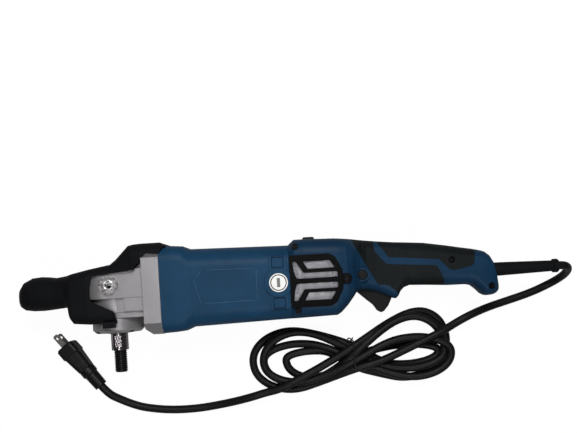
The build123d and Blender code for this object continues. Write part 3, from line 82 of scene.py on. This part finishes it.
# ---------------------------------------------------------------- materials
class Shader:
    """A material whose colour, roughness and bump come from nodes."""

    def __init__(self, name):
        self.material = bpy.data.materials.new(name)
        self.material.use_nodes = True
        self.tree = self.material.node_tree
        self.tree.nodes.clear()
        self.place = self.add("ShaderNodeTexCoord").outputs["Object"]

    def add(self, kind, inputs=(), **settings):
        node = self.tree.nodes.new(kind)
        for key, value in settings.items():
            setattr(node, key, value)
        for key, value in dict(inputs).items():
            if isinstance(value, bpy.types.NodeSocket):
                self.tree.links.new(value, node.inputs[key])
            else:
                node.inputs[key].default_value = value
        return node

    def stretched(self, stretch):
        """Texture coordinates stretched by one factor for each axis."""
        return self.add("ShaderNodeMapping", {"Vector": self.place, "Scale": stretch}).outputs["Vector"]

    def noise(self, size, detail=3.0, place=None, kind="noise"):
        """Noise with features of about this size, from 0 to 1."""
        place = place or self.place
        if kind == "cells":
            node = self.add("ShaderNodeTexVoronoi", {"Vector": place, "Scale": 1 / size})
            return node.outputs["Distance"]
        node = self.add("ShaderNodeTexNoise", {"Vector": place, "Scale": 1 / size, "Detail": detail})
        return node.outputs["Fac"]

    def ramp(self, value, low, high, start=0.35, end=0.65):
        """A value or colour that runs from low to high as the input goes from start to end."""
        if isinstance(low, (int, float)):
            keys = {"Value": value, "From Min": start, "From Max": end, "To Min": low, "To Max": high}
            return self.add("ShaderNodeMapRange", keys).outputs["Result"]
        node = self.add("ShaderNodeValToRGB", {"Fac": value})
        stops = node.color_ramp.elements
        stops[0].position, stops[1].position = start, end
        stops[0].color, stops[1].color = (*low, 1), (*high, 1)
        return node.outputs["Color"]

    def mix(self, amount, first, second, blend="MIX"):
        node = self.add("ShaderNodeMix", data_type="RGBA", blend_type=blend)
        for key, value in ((0, amount), (6, first), (7, second)):
            if isinstance(value, bpy.types.NodeSocket):
                self.tree.links.new(value, node.inputs[key])
            else:
                node.inputs[key].default_value = value if key == 0 else (*value, 1)
        return node.outputs[2]

    def rounded(self, radius):
        """A normal that rounds sharp edges by this radius, and how much of an edge each point is."""
        soft = self.add("ShaderNodeBevel", {"Radius": radius}, samples=4).outputs["Normal"]
        true = self.add("ShaderNodeNewGeometry").outputs["True Normal"]
        keys = {0: soft, 1: true}
        alike = self.add("ShaderNodeVectorMath", keys, operation="DOT_PRODUCT").outputs["Value"]
        return soft, self.ramp(alike, 1.0, 0.0, 0.80, 0.995)

    def bump(self, height, depth, normal=None, strength=1.0):
        keys = {"Height": height, "Distance": depth, "Strength": strength}
        if normal:
            keys["Normal"] = normal
        return self.add("ShaderNodeBump", keys).outputs["Normal"]

    def finish(self, colour, roughness, normal, metallic=0.0, specular=0.2):
        keys = {"Base Color": colour, "Roughness": roughness, "Normal": normal}
        keys.update({"Metallic": metallic, "Specular IOR Level": specular})
        shader = self.add("ShaderNodeBsdfPrincipled", keys)
        self.add("ShaderNodeOutputMaterial", {"Surface": shader.outputs["BSDF"]})
        return self.material


def shade(colour, factor):
    return tuple(min(1.0, c * factor) for c in colour)


def moulded(
    name, colour, roughness, grain=0.4 * MM, depth=0.02 * MM, edge=0.5 * MM, cells=False, edge_wear_and_glint=1.25, **extra
):
    """Moulded plastic or rubber: a fine grain, faint clouding, and lighter edges: rubbed wear on most, a
    painted glint where the lift is large.
    """
    s = Shader(name)
    cloud = s.noise(22 * MM, 4.0)
    speck = s.noise(grain * 1.6, 2.0)
    normal, rim = s.rounded(edge)
    body = s.ramp(cloud, shade(colour, 0.9), shade(colour, 1.1))
    body = s.mix(rim, body, shade(colour, edge_wear_and_glint))
    rough = s.ramp(speck, roughness - 0.05, roughness + 0.05)
    height = s.noise(grain, 2.0, kind="cells" if cells else "noise")
    return s.finish(body, rough, s.bump(height, depth, normal), **extra)


def cast_paint(name, colour, roughness, metallic):
    """Sand-cast alloy under satin paint: orange peel, soft stains and worn bright edges."""
    s = Shader(name)
    cloud = s.noise(30 * MM, 3.0)
    peel = s.noise(0.9 * MM, 2.0)
    normal, rim = s.rounded(0.7 * MM)
    body = s.ramp(cloud, shade(colour, 0.96), shade(colour, 1.04))
    body = s.mix(rim, body, shade(colour, 1.3))
    rough = s.ramp(s.noise(4 * MM, 2.0), roughness - 0.03, roughness + 0.04)
    return s.finish(body, rough, s.bump(peel, 0.02 * MM, normal), metallic=metallic)


def machined(name, colour, roughness, across, edge=0.3 * MM):
    """Turned or ground metal: fine lines that run across the stretched axes."""
    s = Shader(name)
    lines = s.noise(1.0, 2.0, s.stretched(across))
    normal, rim = s.rounded(edge)
    body = s.ramp(lines, shade(colour, 0.82), shade(colour, 1.1), 0.25, 0.75)
    body = s.mix(rim, body, shade(colour, 1.2))
    rough = s.ramp(lines, roughness - 0.07, roughness + 0.1, 0.2, 0.8)
    return s.finish(body, rough, s.bump(lines, 0.01 * MM, normal), metallic=1.0)


def polished(name, colour, roughness):
    """Ground and polished steel with only a trace of a surface."""
    s = Shader(name)
    normal, rim = s.rounded(0.25 * MM)
    stain = s.noise(6 * MM, 3.0)
    body = s.ramp(stain, shade(colour, 0.92), shade(colour, 1.06))
    body = s.mix(rim, body, shade(colour, 1.3))
    rough = s.ramp(stain, roughness - 0.02, roughness + 0.03)
    return s.finish(body, rough, normal, metallic=1.0)


def mottled_glints(name, dark, pale, roughness, size):
    """Bare metal in lighter and darker patches, partly uneven working and partly painted glints, with
    roughness and bump varying with them.
    """
    s = Shader(name)
    glint_patches = s.noise(size, 5.0)
    normal, rim = s.rounded(0.3 * MM)
    body = s.mix(rim, s.ramp(glint_patches, dark, pale, 0.36, 0.66), shade(pale, 1.2))
    rough = s.ramp(glint_patches, roughness - 0.08, roughness + 0.14)
    return s.finish(body, rough, s.bump(glint_patches, 0.06 * size, normal), metallic=1.0)


FINE = 1 / (0.12 * MM)
COARSE = 1 / (6 * MM)
TURNED_X = (FINE, COARSE, COARSE)
TURNED_Y = (COARSE, FINE, COARSE)

LOOKS = {
    "gear_case_paint": cast_paint("gear_case_paint", (0.27, 0.262, 0.27), 0.36, 0.6),
    "gear_steel": machined("gear_steel", (0.36, 0.36, 0.37), 0.35, TURNED_Y),
    "bright_steel": machined("bright_steel", (0.62, 0.62, 0.63), 0.26, TURNED_X),
    "boss_steel": mottled_glints("boss_steel", (0.15, 0.142, 0.147), (0.34, 0.33, 0.33), 0.38, 2.6 * MM),
    "spindle_steel": polished("spindle_steel", (0.42, 0.39, 0.41), 0.17),
    "oiled_thread": moulded("oiled_thread", (0.009, 0.0085, 0.009), 0.36, edge=0.15 * MM, metallic=0.3),
    "spring_steel": machined("spring_steel", (0.45, 0.45, 0.46), 0.3, TURNED_X),
    # The black screws' edges are lifted to fourteen times their colour: a painted glint, not wear.
    "black_screws": moulded(
        "black_screws", (0.012, 0.012, 0.013), 0.22, edge=0.25 * MM, edge_wear_and_glint=14.0, metallic=0.85
    ),
    "lamination_steel": machined("lamination_steel", (0.3, 0.3, 0.31), 0.4, (1 / (0.5 * MM), COARSE, COARSE)),
    "copper": machined("copper", (0.7, 0.3, 0.14), 0.32, TURNED_X),
    "brush_brass": machined("brush_brass", (0.72, 0.56, 0.25), 0.3, TURNED_Y),
    "carbon": moulded("carbon", (0.03, 0.03, 0.03), 0.6),
    "motor_blue": moulded(
        "motor_blue", (0.0075, 0.038, 0.083), 0.45, grain=0.35 * MM, depth=0.01 * MM, specular=0.08
    ),
    "housing_blue": moulded(
        "housing_blue", (0.0055, 0.026, 0.058), 0.45, grain=0.35 * MM, depth=0.012 * MM, specular=0.08
    ),
    "label_line": moulded("label_line", (0.035, 0.10, 0.18), 0.4),
    "black_rubber": moulded(
        "black_rubber", (0.0045, 0.0048, 0.0058), 0.6, grain=0.5 * MM, depth=0.03 * MM, specular=0.07
    ),
    "grip_rubber": moulded(
        "grip_rubber", (0.005, 0.0068, 0.0078), 0.6, grain=1.3 * MM, depth=0.12 * MM, cells=True, specular=0.1
    ),
    "black_plastic": moulded("black_plastic", (0.005, 0.005, 0.0057), 0.38, edge_wear_and_glint=1.8, specular=0.12),
    "grille_black": moulded(
        "grille_black", (0.0022, 0.0022, 0.0026), 0.3, depth=0.004 * MM, edge_wear_and_glint=1.8, specular=0.07
    ),
    "wire_mesh": mottled_glints("wire_mesh", (0.09, 0.09, 0.10), (0.40, 0.40, 0.43), 0.36, 1.3 * MM),
    "cap_white": moulded("cap_white", (0.78, 0.78, 0.76), 0.35, depth=0.006 * MM, edge_wear_and_glint=1.0),
    # Dark grey painted shade for the slot in the white brush caps.
    "cap_slot_shade": moulded("cap_slot_shade", (0.16, 0.16, 0.16), 0.5),
    "circuit_board": moulded("circuit_board", (0.02, 0.16, 0.06), 0.4),
    "cord_jacket": moulded("cord_jacket", (0.0055, 0.0055, 0.0062), 0.45, grain=0.6 * MM, specular=0.12),
    "plug_plastic": moulded("plug_plastic", (0.0052, 0.0052, 0.0058), 0.4, grain=0.4 * MM, specular=0.15),
    "plug_metal": machined("plug_metal", (0.20, 0.19, 0.18), 0.38, TURNED_X, edge=0.15 * MM),
    "tie_wire": moulded("tie_wire", (0.012, 0.012, 0.012), 0.3, grain=0.3 * MM),
    "seam_shadow": moulded("seam_shadow", (0.002, 0.012, 0.028), 0.6),
}
SPECIAL = {
    "handle_grip_left": "grip_rubber",
    "handle_grip_right": "grip_rubber",
}


def dress(piece, look):
    piece.data.materials.clear()
    piece.data.materials.append(LOOKS[look])


slot_of = {part["node"]: part["material_slot"] for part in frame["record"]["subparts"]}
for name, node in nodes.items():
    dress(node, SPECIAL.get(name, slot_of[name]))


# ---------------------------------------------------------------- pieces finer than the CAD
def add_piece(name, mesh, body, look=None):
    piece = bpy.data.objects.new(name, mesh)
    bpy.context.scene.collection.objects.link(piece)
    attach(piece, body)
    if look:
        dress(piece, look)
    return piece


def mesh_from(build):
    """A mesh filled by a function that is given an empty bmesh."""
    shape = bmesh.new()
    build(shape)
    mesh = bpy.data.meshes.new("piece")
    shape.to_mesh(mesh)
    shape.free()
    return mesh


def add_wire(shape, points, radius, sides=5):
    """A thin wire through the points, with closed ends."""
    rings = []
    for i, point in enumerate(points):
        before, after = points[max(i - 1, 0)], points[min(i + 1, len(points) - 1)]
        along = (after - before).normalized()
        across = along.cross(Vector((0, 0, 1)))
        across = across.normalized() if across.length > 1e-6 else Vector((1, 0, 0))
        up = across.cross(along)
        turns = [2 * math.pi * k / sides for k in range(sides)]
        spokes = [across * math.cos(a) + up * math.sin(a) for a in turns]
        rings.append([shape.verts.new(point + radius * spoke) for spoke in spokes])
    for one, two in zip(rings, rings[1:]):
        for k in range(sides):
            face = shape.faces.new((one[k], one[(k + 1) % sides], two[(k + 1) % sides], two[k]))
            face.smooth = True
    shape.faces.new(rings[0][::-1])
    shape.faces.new(rings[-1])


# The opening that the wire mesh closes, in millimetres: its half height narrows from the taper to the end.
MESH_START = 191.6
MESH_END = 239.0
MESH_HALF = 21.4
MESH_TAPER = 231.0
MESH_END_HALF = 7.8
MESH_PLANE = 41.5
MESH_PITCH = 1.3
WIRE_R = 0.33


def mesh_half_at(x):
    if x < MESH_TAPER:
        return MESH_HALF
    return MESH_HALF + (x - MESH_TAPER) * (MESH_END_HALF - MESH_HALF) / (MESH_END - MESH_TAPER)


def mesh_end_at(y):
    if abs(y) < MESH_END_HALF:
        return MESH_END
    return MESH_TAPER + (MESH_HALF - abs(y)) * (MESH_END - MESH_TAPER) / (MESH_HALF - MESH_END_HALF)


def weave(side):
    """Wires along X and Y that pass over and under each other."""

    def build(shape):
        columns = int((MESH_END - MESH_START) / MESH_PITCH)
        rows = int(MESH_HALF / MESH_PITCH)
        for row in range(-rows, rows + 1):
            y = row * MESH_PITCH
            points = []
            for column in range(columns + 1):
                x = MESH_START + column * MESH_PITCH
                if x <= mesh_end_at(y):
                    lift = WIRE_R if (row + column) % 2 else -WIRE_R
                    points.append(at(x, y, side * (MESH_PLANE + lift)))
            add_wire(shape, points, WIRE_R * MM)
        for column in range(columns + 1):
            x = MESH_START + column * MESH_PITCH
            points = []
            for row in range(-rows, rows + 1):
                if abs(row * MESH_PITCH) <= mesh_half_at(x):
                    lift = -WIRE_R if (row + column) % 2 else WIRE_R
                    points.append(at(x, row * MESH_PITCH, side * (MESH_PLANE + lift)))
            add_wire(shape, points, WIRE_R * MM)

    return mesh_from(build)


for side, name in ((1, "grille_mesh_left"), (-1, "grille_mesh_right")):
    woven = add_piece("woven_" + name, weave(side), "housing", "wire_mesh")
    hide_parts(name)


def split_look(piece, look, chosen):
    """Give the faces whose middle is chosen a second look."""
    piece.data.materials.append(LOOKS[look])
    place = piece.matrix_world
    index = len(piece.data.materials) - 1
    for face in piece.data.polygons:
        if chosen(place @ face.center):
            face.material_index = index


def from_axis(point, x, y):
    """Distance in millimetres from a line along Z through this x and y of the machine."""
    return math.hypot(point.x / MM - x, (point.y - SHOULDER) / MM - y)


def pressed_spring(name):
    """A copy of a spring, in spring steel, that takes the place of the CAD spring."""
    source = nodes[name]
    piece = add_piece(name + "_coil", source.data.copy(), "housing")
    piece.matrix_world = source.matrix_world
    dress(piece, "spring_steel")
    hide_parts(name)
    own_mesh(piece)


pressed_spring("trigger_spring")
pressed_spring("lock_on_spring")
pressed_spring("spindle_lock_spring")

BRUSH_X = 176.4
CAP_GROOVE = (7.3, 8.45)  # radii of the groove round a cap
CAP_SLOT_R = 5.5
CAP_SLOT_DEPTHS = (41.0, 43.0)  # distances from the motor axis between which the slot's faces lie
# The groove round each cap is painted black and the cap's slot dark grey: painted shade in these recesses of
# a cap that is white all over.
split_look(
    nodes["brush_caps"],
    "black_plastic",
    lambda p: CAP_GROOVE[0] < from_axis(p, BRUSH_X, 0) < CAP_GROOVE[1],
)
split_look(
    nodes["brush_caps"],
    "cap_slot_shade",
    lambda p: from_axis(p, BRUSH_X, 0) < CAP_SLOT_R
    and CAP_SLOT_DEPTHS[0] < abs(p.z) / MM < CAP_SLOT_DEPTHS[1],
)
BOSS_Y = 8.2
BOSS_R = 10.2
BOSS_FACE = 36.6  # from the motor axis
HOLE_R = 3.7
HOLE_FLOOR = 22.0
split_look(
    nodes["gear_housing"],
    "boss_steel",
    lambda p: from_axis(p, 0, BOSS_Y) < BOSS_R and abs(p.z) / MM > BOSS_FACE,
)
split_look(
    nodes["gear_housing"],
    "bright_steel",
    lambda p: from_axis(p, 0, BOSS_Y) < HOLE_R and HOLE_FLOOR < abs(p.z) / MM < BOSS_FACE,
)


# The turned lead-in of a side handle's hole, as radius and distance from the motor axis.
RIM_PROFILE = [(3.35, 36.2), (3.45, 36.9), (4.3, 37.16), (5.0, 37.16), (5.25, 36.98)]
RIM_SIDES = 48


def countersink(side):
    """A bright rim just proud of the boss."""

    def build(shape):
        rings = []
        for radius, z in RIM_PROFILE:
            turns = [2 * math.pi * k / RIM_SIDES for k in range(RIM_SIDES)]
            points = [at(radius * math.cos(a), BOSS_Y + radius * math.sin(a), side * z) for a in turns]
            rings.append([shape.verts.new(point) for point in points])
        for one, two in zip(rings, rings[1:]):
            for k in range(RIM_SIDES):
                after = (k + 1) % RIM_SIDES
                face = shape.faces.new((one[k], one[after], two[after], two[k]))
                face.smooth = True

    return mesh_from(build)


for side, name in ((1, "handle_hole_rim_left"), (-1, "handle_hole_rim_right")):
    add_piece(name, countersink(side), "housing", "bright_steel")

# The spindle's thread, cut as a helix where the CAD has a plain cylinder.
THREAD_START = -62.0
THREAD_END = -86.0
THREAD_R = 7.0
THREAD_PITCH = 2.0
THREAD_DEPTH = 1.05
THREAD_RUN_IN = 1.5
THREAD_TIP = 1.2  # length of the chamfer at the end
THREAD_TIP_DROP = 0.9
THREAD_CUT = 0.3  # how far below the start the plain cylinder's faces are taken off
THREAD_SIDES = 40
THREAD_STEP = 0.25


def thread_radius(y, turn):
    """The thread's radius here, from a rounded V with a run-out at each end."""
    phase = ((THREAD_START - y) / THREAD_PITCH - turn) % 1.0
    ridge = 0.5 + 0.5 * math.cos(2 * math.pi * phase)
    start = eased((THREAD_START - y) / THREAD_RUN_IN)
    tip = max(0.0, 1.0 - (y - THREAD_END) / THREAD_TIP)
    return THREAD_R - THREAD_DEPTH * (1 - ridge) * start - THREAD_TIP_DROP * tip


def threaded_spindle():
    def build(shape):
        shape.from_mesh(nodes["spindle"].data)
        shape.transform(nodes["spindle"].matrix_world)
        cut = at(0, THREAD_START - THREAD_CUT, 0).y
        plain = [f for f in shape.faces if f.calc_center_median().y < cut]
        bmesh.ops.delete(shape, geom=plain, context="FACES")
        rings = []
        steps = int((THREAD_START - THREAD_END) / THREAD_STEP)
        for step in range(steps + 1):
            y = THREAD_START - step * THREAD_STEP
            ring = []
            for side in range(THREAD_SIDES):
                turn = side / THREAD_SIDES
                radius = thread_radius(y, turn)
                angle = 2 * math.pi * turn
                ring.append(shape.verts.new(at(radius * math.cos(angle), y, radius * math.sin(angle))))
            rings.append(ring)
        for one, two in zip(rings, rings[1:]):
            for k in range(THREAD_SIDES):
                after = (k + 1) % THREAD_SIDES
                face = shape.faces.new((one[k], two[k], two[after], one[after]))
                face.smooth = True
        shape.faces.new(rings[-1])

    return mesh_from(build)


spindle = add_piece("threaded_spindle", threaded_spindle(), "spindle", "spindle_steel")
split_look(spindle, "oiled_thread", lambda p: p.y < at(0, THREAD_START, 0).y)
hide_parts("spindle")

# The label panel's raised outline, a little proud of the panel's edge.
LABEL = [(89.6, 8.6), (97.2, 17.4), (154.0, 16.2), (153.6, -16.4), (95.6, -16.8)]
LABEL_PROUD = 0.06
LABEL_WIRE_R = 0.28
LABEL_STEPS = 6
BARREL_SIDE = [(85.4, 40.9), (188.0, 39.4)]  # x and distance from the motor axis at the barrel's two ends


def barrel_side_at(x):
    (x0, z0), (x1, z1) = BARREL_SIDE
    return z0 + (x - x0) * (z1 - z0) / (x1 - x0)


def outline(side):
    def build(shape):
        corners = LABEL + LABEL[:1]
        for (xa, ya), (xb, yb) in zip(corners, corners[1:]):
            ends = [at(x, y, side * (barrel_side_at(x) + LABEL_PROUD)) for x, y in ((xa, ya), (xb, yb))]
            points = [ends[0].lerp(ends[1], t / LABEL_STEPS) for t in range(LABEL_STEPS + 1)]
            add_wire(shape, points, LABEL_WIRE_R * MM, sides=6)

    return mesh_from(build)


for side, name in ((1, "label_outline_left"), (-1, "label_outline_right")):
    add_piece(name, outline(side), "housing", "label_line")

# The pads above and below each brush cap: half width, distance from the motor axis, and their two heights.
PAD_HALF = 5.9
PAD_SIDE = 40.96
PAD_WIRE_R = 0.32
PAD_ENDS = ((15.6, 26.4), (-26.4, -15.6))


# Dark lines round each pad, in the seam_shadow look: painted shade along the edges of the recessed pads.
def pad_shade_lines(side):
    def build(shape):
        for near, far in PAD_ENDS:
            corners = [(-PAD_HALF, far), (-PAD_HALF, near), (PAD_HALF, near), (PAD_HALF, far)]
            for (xa, ya), (xb, yb) in zip(corners, corners[1:] + corners[:1]):
                ends = [at(BRUSH_X + x, y, side * PAD_SIDE) for x, y in ((xa, ya), (xb, yb))]
                add_wire(shape, ends, PAD_WIRE_R * MM, sides=6)

    return mesh_from(build)


for side, name in ((1, "pad_outlines_left"), (-1, "pad_outlines_right")):
    add_piece(name, pad_shade_lines(side), "housing", "seam_shadow")


# ---------------------------------------------------------------- power cord
CORD_R = 4.5 * MM
LAID = FLOOR + CORD_R + 0.05 * MM  # height of a strand's middle where it lies on the floor
LEVEL = 9.1 * MM  # from one layer of the hank to the next
TIE = at(256, -88, 0)

TOOL_END = [
    (0.4800, 0.0623, 0.0),
    (0.4862, 0.0623, 0.0),
    (0.4918, 0.0603, -0.0044),
    (0.4949, 0.0571, -0.0114),
    (0.4952, 0.0532, -0.0196),
    (0.4926, 0.0490, -0.0276),
    (0.4872, 0.0446, -0.0344),
    (0.4790, 0.0401, LAID),
    (0.4676, 0.0354, LAID),
    (0.4520, 0.0304, LAID),
    (0.4330, 0.0254, LAID + 0.0006),
    (0.4100, 0.0196, LAID + 0.0040),
    (0.3880, 0.0126, LAID + 0.0114),
    (0.3706, 0.0043, LAID + 0.0120),
]
TOOL_SIDE = [
    (0.3530, -0.0045, LAID + 0.0172),
    (0.3330, -0.0125, LAID + 0.0174),
    (0.3100, -0.0225, LAID + 0.0165),
    (0.2840, -0.0330, LAID + 0.0170),
]
PLUG_SIDE = [
    (0.2360, -0.0250, LAID + 0.0172),
    (0.2130, -0.0370, LAID + 0.0172),
    (0.1900, -0.0475, LAID + 0.0174),
    (0.1710, -0.0570, LAID + 0.0155),
]
PLUG_Z = FLOOR + 0.0120
PLUG_END = [
    (0.1524, -0.0608, LAID + 0.0120),
    (0.1394, -0.0642, LAID + 0.0120),
    (0.1210, -0.0686, LAID + 0.0076),
    (0.0990, -0.0728, LAID + 0.0018),
    (0.0734, -0.0758, LAID),
    (0.0431, -0.0756, LAID),
    (0.0150, -0.0712, LAID),
    (0.0010, -0.0664, LAID + 0.0004),
    (-0.0122, -0.0594, LAID + 0.0036),
    (-0.0242, -0.0520, PLUG_Z),
    (-0.0320, -0.0420, PLUG_Z),
]

# One loop of the hank as shares of its reach and of its height, from its lower side to its upper side.
LOOP = [
    (0.34, -0.80), (0.60, -1.05), (0.82, -0.93), (0.98, -0.55), (1.03, -0.05),
    (0.99, 0.45), (0.85, 0.86), (0.63, 1.05), (0.36, 0.84),
]
# Each turn's left and right loop: reach, height above and below the tie, layer, where it has come down
# to that layer as a share of its reach, and how far its top leans out.
TURNS = [
    ((-0.113, 0.032, 0.034, 0.0, 0.42, 0.0), (0.095, 0.009, 0.013, 0.0, 0.9, 0.0)),
    ((-0.101, 0.017, 0.0275, 0.0, 0.6, 0.0), (0.106, 0.018, 0.026, 1.6, 0.5, 0.0)),
    ((-0.101, 0.031, 0.025, 1.0, 0.5, 0.0), (0.0995, 0.041, 0.017, 1.0, 0.5, 0.12)),
    ((-0.076, 0.008, 0.022, 0.0, 0.6, 0.0), (0.103, 0.046, 0.028, 0.0, 0.5, 0.24)),
]
# Where each pass goes through the tie: across it, and in which layer.
RISING = [(-0.0126, 2), (0.0, 0), (-0.0044, 2), (0.0040, 2), (0.0124, 2)]
FALLING = [(0.0124, 1), (-0.0044, 1), (0.0040, 1), (-0.0126, 1)]


def tie_point(across, layer):
    return (TIE.x, TIE.y + across, LAID + layer * LEVEL)


def loop_points(loop, layer_in, layer_out):
    """One side of a turn, from its lower side round to its upper side."""
    reach, above, below, layer, fall, lean = loop
    for i, (out, up) in enumerate(LOOP):
        height = up * (above if up > 0 else below)
        near = layer_in if i < len(LOOP) / 2 else layer_out
        down = eased(out / fall)
        z = LAID + LEVEL * (near * (1 - down) + layer * down)
        yield (TIE.x + reach * out + lean * height, TIE.y + height, z)


def hank_points():
    """The figure-eight turns between the strand from the tool and the strand to the plug."""
    for (left, right), rising, falling, following in zip(TURNS, RISING, FALLING, RISING[1:]):
        yield tie_point(*rising)
        yield from loop_points(left, rising[1], falling[1])
        yield tie_point(*falling)
        yield from loop_points(right, falling[1], following[1])
    yield tie_point(*RISING[-1])


def spline_object(name, points, radius, sides=6):
    """A round strand along one open NURBS spline."""
    curve = bpy.data.curves.new(name, "CURVE")
    curve.dimensions = "3D"
    curve.bevel_depth = radius
    curve.bevel_resolution = sides
    curve.resolution_u = 6
    curve.use_fill_caps = True
    spline = curve.splines.new("NURBS")
    spline.points.add(len(points) - 1)
    for point, place in zip(spline.points, points):
        point.co = (*place, 1)
    spline.order_u = 3
    spline.use_endpoint_u = True
    spline.use_smooth = True
    piece = bpy.data.objects.new(name, curve)
    bpy.context.scene.collection.objects.link(piece)
    return piece


# The twist tie: once round the hank, with its twisted end standing out at the upper side.
TIE_LOOP = [
    (0.2547, -0.0078, -0.0210), (0.2547, -0.0084, -0.0180), (0.2547, -0.0110, -0.0160),
    (0.2547, -0.0260, -0.0154), (0.2547, -0.0400, -0.0156), (0.2547, -0.0432, -0.0180),
    (0.2547, -0.0438, -0.0260), (0.2547, -0.0436, -0.0400), (0.2547, -0.0420, -0.0430),
    (0.2547, -0.0260, -0.0432), (0.2547, -0.0110, -0.0431), (0.2547, -0.0086, -0.0400),
    (0.2547, -0.0082, -0.0300), (0.2545, -0.0078, -0.0210), (0.2530, -0.0060, -0.0200),
    (0.2500, -0.0040, -0.0205), (0.2480, -0.0060, -0.0215), (0.2500, -0.0080, -0.0215),
    (0.2524, -0.0066, -0.0200), (0.2547, -0.0040, -0.0195),
]
TIE_WIRE_R = 0.7 * MM
tie = spline_object("twist_tie", TIE_LOOP, TIE_WIRE_R, sides=3)
dress(tie, "tie_wire")
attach(tie, "housing")
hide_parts("cord_tie")

route = TOOL_END + TOOL_SIDE + list(hank_points()) + PLUG_SIDE + PLUG_END
power_cord = spline_object("power_cord", route, CORD_R)
dress(power_cord, "cord_jacket")
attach(power_cord, "housing")
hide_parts("power_cord_tool_end", "power_cord_hank", "power_cord_plug_end")

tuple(TOOL_END[0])


# ---------------------------------------------------------------- floor, lights and camera
def glow(name, strength, colour, behind_share):
    """A pale surface that shows as near white behind the object and keeps its shadow."""
    s = Shader(name)
    paper = s.ramp(s.noise(40 * MM, 3.0), shade(colour, 0.985), colour)
    normal = s.bump(s.noise(0.8 * MM, 2.0), 0.01 * MM)
    matte = s.add("ShaderNodeBsdfDiffuse", {"Color": paper, "Normal": normal}).outputs["BSDF"]
    white = s.add("ShaderNodeEmission", {"Color": (1, 1, 1, 1), "Strength": strength}).outputs["Emission"]
    ray = s.add("ShaderNodeLightPath")
    seen = s.add("ShaderNodeMath", {0: ray.outputs["Is Camera Ray"], 1: behind_share}, operation="MULTIPLY")
    shown = s.add("ShaderNodeMixShader", {0: seen.outputs["Value"], 1: matte, 2: white}).outputs["Shader"]
    s.add("ShaderNodeOutputMaterial", {"Surface": shown})
    return s.material


FLOOR_SIZE = 6.0
FLOOR_PAPER = (0.5, 0.5, 0.5)
FLOOR_WHITE = 1.05  # strength of the white that the camera sees in place of most of the paper
FLOOR_SHARE = 0.92
FLOOR_DROP = 0.1 * MM


def make_floor():
    mesh = bpy.data.meshes.new("floor")
    half = FLOOR_SIZE / 2
    middle = (cad_box[0] + cad_box[1]) / 2
    corners = [(-half, -half), (half, -half), (half, half), (-half, half)]
    level = FLOOR - FLOOR_DROP
    mesh.from_pydata([(middle.x + x, middle.y + y, level) for x, y in corners], [], [(0, 1, 2, 3)])
    floor = bpy.data.objects.new("floor", mesh)
    floor.data.materials.append(glow("floor_paper", FLOOR_WHITE, FLOOR_PAPER, FLOOR_SHARE))
    bpy.context.scene.collection.objects.link(floor)


def soft_lamp(name, place, target, size, power):
    lamp = bpy.data.lights.new(name, "AREA")
    lamp.shape = "RECTANGLE"
    lamp.size, lamp.size_y = size
    lamp.energy = power
    holder = bpy.data.objects.new(name, lamp)
    holder.location = place
    holder.rotation_euler = (Vector(target) - Vector(place)).to_track_quat("-Z", "Y").to_euler()
    bpy.context.scene.collection.objects.link(holder)


WORLD_LEVEL = 0.04
BACKDROP_LEVEL = 1.0


def make_world():
    """White where the camera looks past the floor, and a low plain level for everything else."""
    world = bpy.data.worlds.new("studio")
    bpy.context.scene.world = world
    world.use_nodes = True
    tree = world.node_tree
    tree.nodes.clear()
    ray = tree.nodes.new("ShaderNodeLightPath")
    level = tree.nodes.new("ShaderNodeMix")
    level.inputs[2].default_value = WORLD_LEVEL
    level.inputs[3].default_value = BACKDROP_LEVEL
    back = tree.nodes.new("ShaderNodeBackground")
    back.inputs["Color"].default_value = (1, 1, 1, 1)
    end = tree.nodes.new("ShaderNodeOutputWorld")
    tree.links.new(ray.outputs["Is Camera Ray"], level.inputs[0])
    tree.links.new(level.outputs[0], back.inputs["Strength"])
    tree.links.new(back.outputs["Background"], end.inputs["Surface"])


make_floor()
make_world()
TOOL_MIDDLE = at(160, -10, 0)
# Each lamp's name, place and target from the tool's middle, size and power.
LAMPS = [
    ("key", (0.1, 0.58, 1.2), (0, 0, 0), (0.5, 0.4), 13),
    ("fill", (0.2, -0.7, 1.1), (0, 0, 0), (0.5, 0.5), 7),
    ("line", (-0.42, 0.0, 1.1), (-0.42, 0, 0), (0.008, 1.2), 0.4),
    ("strip", (-0.185, 0.0, 1.1), (-0.185, 0, 0), (0.035, 1.2), 1.8),
]
for name, place, target, size, power in LAMPS:
    soft_lamp(name, TOOL_MIDDLE + Vector(place), TOOL_MIDDLE + Vector(target), size, power)

CAMERA_HEIGHT = 0.800  # above the floor
CAMERA_SHIFT = 0.1152513  # how far the point under the camera lies below the middle, in frame widths
CAMERA_PLACE = (0.1866, 0.0610)
CAMERA_LENS = 43.42  # millimetres, on a sensor 36 mm wide
CAMERA_TURN = -3.5  # degrees
camera = bpy.data.cameras.new("camera")
camera.sensor_width = 36.0
camera.lens = CAMERA_LENS
camera.shift_y = CAMERA_SHIFT
camera.clip_start = 0.01
eye = bpy.data.objects.new("camera", camera)
eye.location = (*CAMERA_PLACE, FLOOR + CAMERA_HEIGHT)
eye.rotation_euler = (0, 0, math.radians(CAMERA_TURN))
bpy.context.scene.collection.objects.link(eye)
bpy.context.scene.camera = eye
bpy.context.scene.view_settings.view_transform = "Standard"
